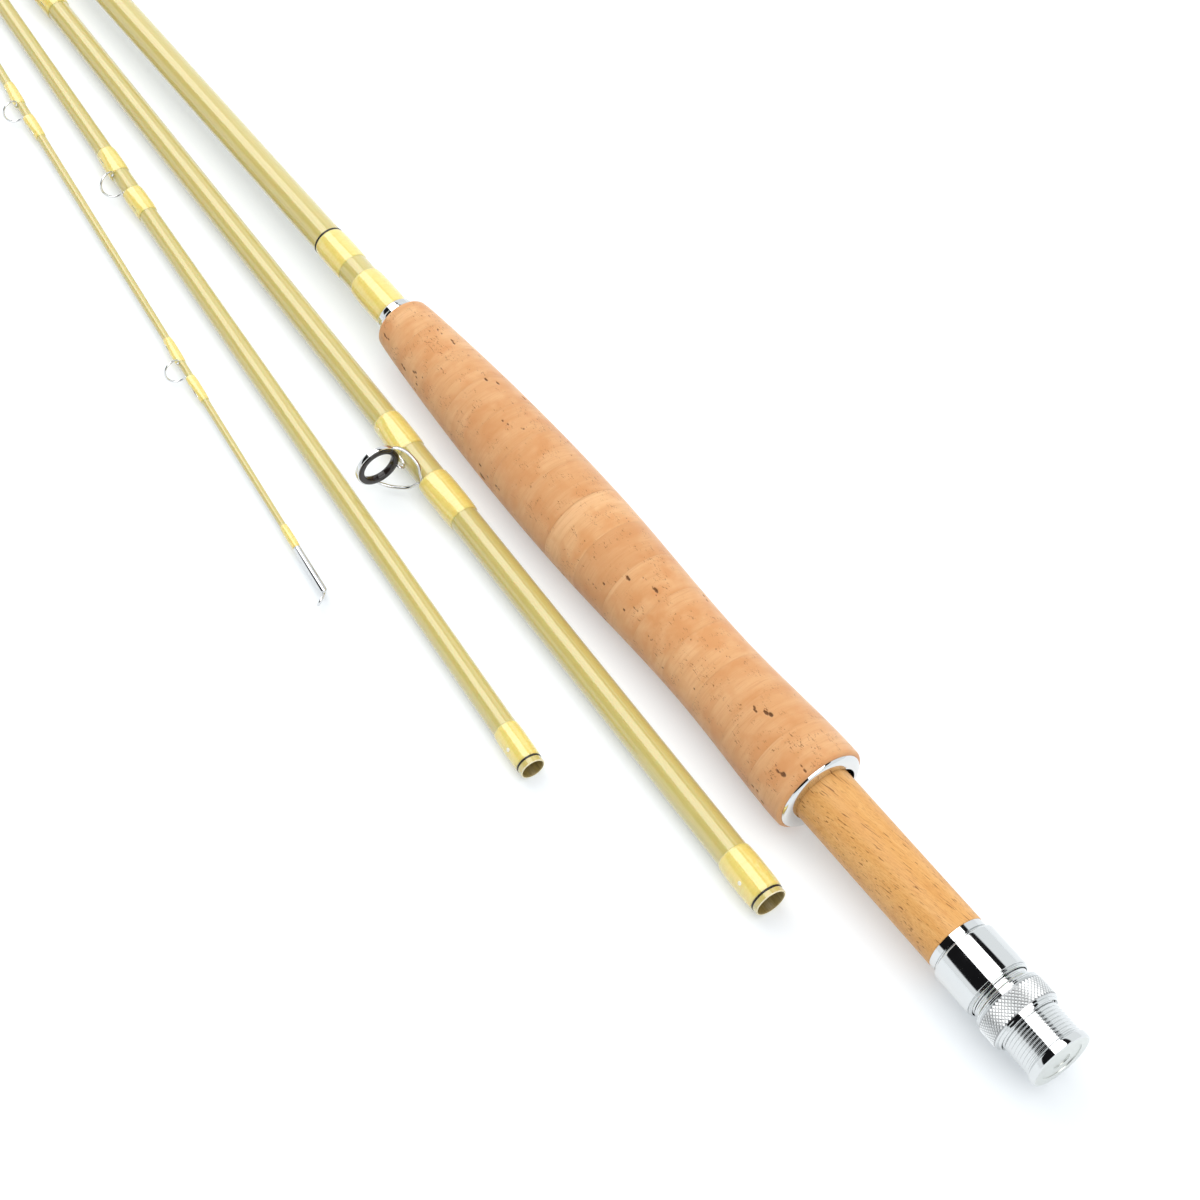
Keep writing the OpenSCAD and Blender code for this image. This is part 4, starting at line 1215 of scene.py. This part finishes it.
    def lock_nut(self, seat):
        """A turned nut whose middle carries a band of raised diamonds."""
        a, b = span_of("lock_nut")
        radius, bore, pocket = 9.75, 8.28, 9.05
        floor = radius - seat.knurl_height
        rear, front = a + 1.35, b - 1.2
        bm = bmesh.new()
        self.knurl(bm, rear, front, floor, seat)
        grooves = [(front + 0.12 + 0.215 * i, 9.14 if i % 2 == 0 else 9.36) for i in range(6)]
        outline = [(front, floor), (front + 0.06, floor - 0.02), *grooves, (b - 0.02, pocket),
                   (b - 1.45, pocket), (b - 1.45, bore), (a + 0.3, bore), (a, bore + 0.3),
                   (a, radius - 1.25),
                   *arc((a + 0.3, radius - 1.15), 0.3, 180, 100, 4), (a + 0.75, radius - 0.82),
                   (a + 0.85, floor - 0.05), (rear - 0.1, floor), (rear, floor)]
        turned(bm, outline, seat.knurls)
        weld(bm, COARSE_WELD)
        for f in bm.faces:
            if rear < f.calc_center_median().x < front and radius_at(f.calc_center_median()) > floor - 0.04:
                f.material_index = 1
        finish_piece(bm, "lock_nut_knurled", "lock_nut", ["chrome", "knurl"], ["lock_nut"], 12)

    def knurl(self, bm, start, end, radius, seat):
        """A band of diamonds: a grid is turned into a lattice and each cell is raised to a point."""
        cell = math.tau * radius / seat.knurls
        rows = max(2, round((end - start) / cell))
        outline = [(start + (end - start) * i / rows, radius) for i in range(rows + 1)]
        turned(bm, outline, seat.knurls)
        bmesh.ops.remove_doubles(bm, verts=bm.verts, dist=COARSE_WELD)
        faces = list(bm.faces)
        sample = faces[0]
        centre = sample.calc_center_median()
        if sample.normal.dot(Vector((0, centre.y, centre.z))) < 0:
            bmesh.ops.reverse_faces(bm, faces=faces)
        square_edges = [e for e in bm.edges if len(e.link_faces) == 2]
        middles = bmesh.ops.poke(bm, faces=faces, offset=0)["verts"]
        for v in middles:
            push_out(v, radius - radius_at(v.co))
        bmesh.ops.dissolve_edges(bm, edges=square_edges, use_verts=False)
        diamonds = [f for f in bm.faces if len(f.verts) == 4]
        # The point mask also sets the knurl's painted highlight on the tips and the painted shade between
        # them.
        point = bm.verts.layers.float.new("point")
        tips = bmesh.ops.poke(bm, faces=diamonds, offset=seat.knurl_height)["verts"]
        for v in tips:
            v[point] = 1.0


class ROD_OT_build_stripping_guide(bpy.types.Operator):
    """Builds the stripping guide: ceramic ring, holder, wire yoke and strut"""
    bl_idname = "rod.build_stripping_guide"
    bl_label = "Build Stripping Guide"

    HOLDER = 0.38

    def execute(self, context):
        guides = context.scene.rod_guides
        points = local_points("stripping_guide_ring")
        low, high = points[:, 0].min(), points[:, 0].max()
        self.station = float(low + high) / 2
        self.width = float(high - low)
        self.lean = leaning_of("stripping_guide_ring")
        self.height = float(np.hypot(*points[:, 1:].mean(axis=0)))
        centre = points[:, 1:].mean(axis=0)
        self.outer = float(np.hypot(*(points[:, 1:] - centre).T).max())
        self.inner = self.outer - 1.85
        self.ring()
        self.frame(guides)
        return {"FINISHED"}

    def ring(self):
        """A ceramic ring with a rounded inside, so that the line runs over a curve."""
        half = self.width / 2
        x = self.station
        bm = lathe([(x - half, self.outer - 0.35), (x - half + 0.1, self.outer - 0.1),
                    (x - half + 0.35, self.outer), (x + half - 0.35, self.outer),
                    (x + half - 0.1, self.outer - 0.1),
                    *[(x + half * math.cos(a), self.inner + 0.5 - 0.5 * math.sin(a))
                      for a in np.linspace(0, math.pi, 13)]])
        bmesh.ops.translate(bm, verts=bm.verts, vec=(0, 0, self.height))
        roll(bm, self.lean)
        finish_piece(bm, "stripping_ring_polished", LOWER, ["ceramic"], ["stripping_guide_ring"])

    def frame(self, guides):
        x, h, top = self.station, self.height, self.outer + self.HOLDER
        foot = blank_radius(LOWER, x) + 0.35
        bm = lathe([(x - 0.62, self.outer - 0.02), (x - 0.62, top - 0.12),
                    *arc((x - 0.5, top - 0.12), 0.12, 180, 90, 3),
                    *arc((x + 0.5, top - 0.12), 0.12, 90, 0, 3),
                    (x + 0.62, self.outer - 0.02)])
        bmesh.ops.translate(bm, verts=bm.verts, vec=(0, 0, h))
        flat = Vector((-0.68, 0, 0.73))  # the ribbon's width lies across the slope that the yoke climbs
        for side in (-1, 1):
            yoke = smooth_path([(x - 0.4, side * (top - 0.3), h - 2.4),
                                (x - 1.1, side * (top - 0.1), h - 3.9),
                                (x - 2.6, side * (top - 0.3), h - 5.6),
                                (x - 4.6, side * 5.3, h - 7.3),
                                (x - 6.3, side * 3.9, h - 8.5),
                                (x - 7.4, side * 2.1, foot + 0.35),
                                (x - 8.4, side * 0.8, foot),
                                (x - 10, side * 0.45, foot),
                                (x - 21, side * 0.3, foot)])
            widths = spread([0.40, 0.44, 0.46, 0.46, 0.46, 0.46, 0.45, 0.45, 0.40], len(yoke))
            flats = spread([0.9, 1.2, 1.3, 1.3, 1.3, 1.2, 0.8, 0.5, 0.4], len(yoke))
            sweep(bm, wire_frames(yoke, widths, flats, flat), guides.wire_sides)
        strut = smooth_path([(x - 0.4, 0.4, h - top + 0.1),
                             (x - 1.3, 0.6, h - top - 0.3),
                             (x - 1.5, 0.7, h - top - 1.4),
                             (x - 0.9, 0.7, foot + 1.0),
                             (x + 0.1, 0.5, foot + 0.1),
                             (x + 3.0, 0.2, foot - 0.1),
                             (x + 14, 0, foot - 0.2)])
        sweep(bm, wire_frames(strut, spread([0.40, 0.46, 0.46, 0.46, 0.48, 0.5, 0.42], len(strut)),
                              spread([1.0, 1.0, 1.0, 0.9, 0.8, 0.6, 0.4], len(strut)), Vector((0, 1, 0))),
              guides.wire_sides)
        bmesh.ops.recalc_face_normals(bm, faces=bm.faces)
        roll(bm, self.lean)
        finish_piece(bm, "stripping_frame_wire", LOWER, ["wire"], ["stripping_guide_frame"])


class ROD_OT_bend_snakes(bpy.types.Operator):
    """Bends the snake guides: one turn of wire between two flattened feet"""
    bl_idname = "rod.bend_snakes"
    bl_label = "Bend Snake Guides"

    GUIDES = {
        "lower_mid_snake": (9.0, 3.1, 0.40),
        "upper_mid_snake_1": (8.0, 2.9, 0.32),
        "upper_mid_snake_2": (8.0, 2.9, 0.32),
        "tip_snake_1": (5.5, 2.7, 0.29),
        "tip_snake_2": (5.5, 2.7, 0.29),
        "tip_snake_3": (5.5, 2.7, 0.29),
        "tip_snake_4": (5.5, 2.7, 0.29),
    }

    def execute(self, context):
        for node, (span, loop, wire) in self.GUIDES.items():
            self.bend(node, span, loop, wire, context.scene.rod_guides)
        return {"FINISHED"}

    def bend(self, node, span, loop, wire, guides):
        section = section_of(node)
        low, high = span_of(node)
        station = (low + high) / 2
        foot = (high - low - span) / 2
        base = blank_radius(section, station) + wire
        steps = guides.turn_steps
        path = [Vector((station - span / 2 - foot * (1 - i / 4), 0, base)) for i in range(4)]
        for i in range(steps + 1):
            turn = math.tau * i / steps
            path.append(Vector((station + span * (i / steps - 0.5), loop * math.sin(turn),
                                base + loop * (1 - math.cos(turn)))))
        path += [Vector((station + span / 2 + foot * (i + 1) / 4, 0, base)) for i in range(4)]
        widths = [wire * 1.15, wire * 1.3, wire * 1.25, wire * 1.1, *[wire] * (steps + 1), wire * 1.1,
                  wire * 1.25, wire * 1.3, wire * 1.15]
        flats = [0.25, 0.45, 0.7, 0.9, *[1.0] * (steps + 1), 0.9, 0.7, 0.45, 0.25]
        bm = bmesh.new()
        sweep(bm, wire_frames(path, widths, flats, Vector((1, 0.3, 0.2))), guides.wire_sides)
        bmesh.ops.recalc_face_normals(bm, faces=bm.faces)
        roll(bm, leaning_of(node))
        finish_piece(bm, node + "_wire", section, ["wire"], [node])


class ROD_OT_fit_tip_top(bpy.types.Operator):
    """Fits the tip-top: a plated tube with a pear-shaped wire loop"""
    bl_idname = "rod.fit_tip_top"
    bl_label = "Fit Tip-Top"

    LOOP_STEPS = 48
    LOOP_WIRE = 0.36

    def execute(self, context):
        low, high = span_of("tip_top_tube")
        blank = 0.9
        bm = bmesh.new()
        turned(bm, [(low + 9, 0), (low + 9, blank), (low, blank), (low, 1.0),
                    *arc((low + 0.1, 1.0), 0.1, 180, 90, 4), (high - 0.9, 1.1), (high - 0.45, 1.0),
                    (high - 0.1, 0.7), (high, 0.45), (high, 0)], 40)
        weld(bm)
        finish_piece(bm, "tip_top_tube_drawn", TIP, ["wire"], ["tip_top_tube"])
        self.loop(high, context.scene.rod_guides)
        return {"FINISHED"}

    def loop(self, tube_end, guides):
        length, width, lean = 5.2, 3.2, math.radians(48)
        path = []
        for i in range(self.LOOP_STEPS):
            turn = math.tau * i / self.LOOP_STEPS
            along = length * (1 - math.cos(turn)) / 2
            across = width / 2 * math.sin(turn) * (0.55 + 0.45 * (1 - math.cos(turn)) / 2) * 1.15
            path.append(Vector((tube_end + 0.1 + along * math.cos(lean), across,
                                along * math.sin(lean) - 0.2)))
        up = Vector((-math.sin(lean), 0, math.cos(lean)))
        frames = []
        for i, point in enumerate(path):
            tangent = (path[(i + 1) % len(path)] - path[i - 1]).normalized()
            across = up.cross(tangent).normalized()
            lie = Matrix((across * self.LOOP_WIRE, up * self.LOOP_WIRE, tangent)).transposed().to_4x4()
            lie.translation = point
            frames.append(lie)
        bm = bmesh.new()
        sweep(bm, frames, guides.wire_sides, ring=True)
        bmesh.ops.recalc_face_normals(bm, faces=bm.faces)
        roll(bm, leaning_of("tip_top_loop"))
        finish_piece(bm, "tip_top_loop_wire", TIP, ["wire"], ["tip_top_loop"])


# ---------- panel and registration ----------

OPERATORS = (ROD_OT_lay_stage, ROD_OT_turn_blanks, ROD_OT_shape_grip, ROD_OT_build_seat, ROD_OT_wind_wraps,
             ROD_OT_build_stripping_guide, ROD_OT_bend_snakes, ROD_OT_fit_tip_top)
GROUPS = {
    "rod_finishes": RodFinishes, "rod_stage": StageSettings, "rod_grip": GripSettings,
    "rod_seat": SeatSettings, "rod_wraps": WrapSettings, "rod_guides": GuideSettings,
}


class ROD_PT_maker(bpy.types.Panel):
    """Lists the rod's operators in the sidebar"""
    bl_idname = "ROD_PT_maker"
    bl_label = "Fly Rod Maker"
    bl_space_type = "VIEW_3D"
    bl_region_type = "UI"
    bl_category = "Fly Rod"

    def draw(self, context):
        for operator in OPERATORS:
            self.layout.operator(operator.bl_idname)
        for group in GROUPS:
            box = self.layout.box()
            settings = getattr(context.scene, group)
            for prop in settings.__annotations__:
                box.prop(settings, prop)


def register():
    for cls in (*GROUPS.values(), *OPERATORS, ROD_PT_maker):
        bpy.utils.register_class(cls)
    for name, cls in GROUPS.items():
        setattr(bpy.types.Scene, name, bpy.props.PointerProperty(type=cls))


def unregister():
    for name in GROUPS:
        delattr(bpy.types.Scene, name)
    for cls in reversed((*GROUPS.values(), *OPERATORS, ROD_PT_maker)):
        bpy.utils.unregister_class(cls)


def main():
    register()
    bpy.ops.rod.lay_stage()
    bpy.ops.rod.turn_blanks()
    bpy.ops.rod.shape_grip()
    bpy.ops.rod.build_seat()
    bpy.ops.rod.wind_wraps()
    bpy.ops.rod.build_stripping_guide()
    bpy.ops.rod.bend_snakes()
    bpy.ops.rod.fit_tip_top()


if __name__ == "__main__":
    main()
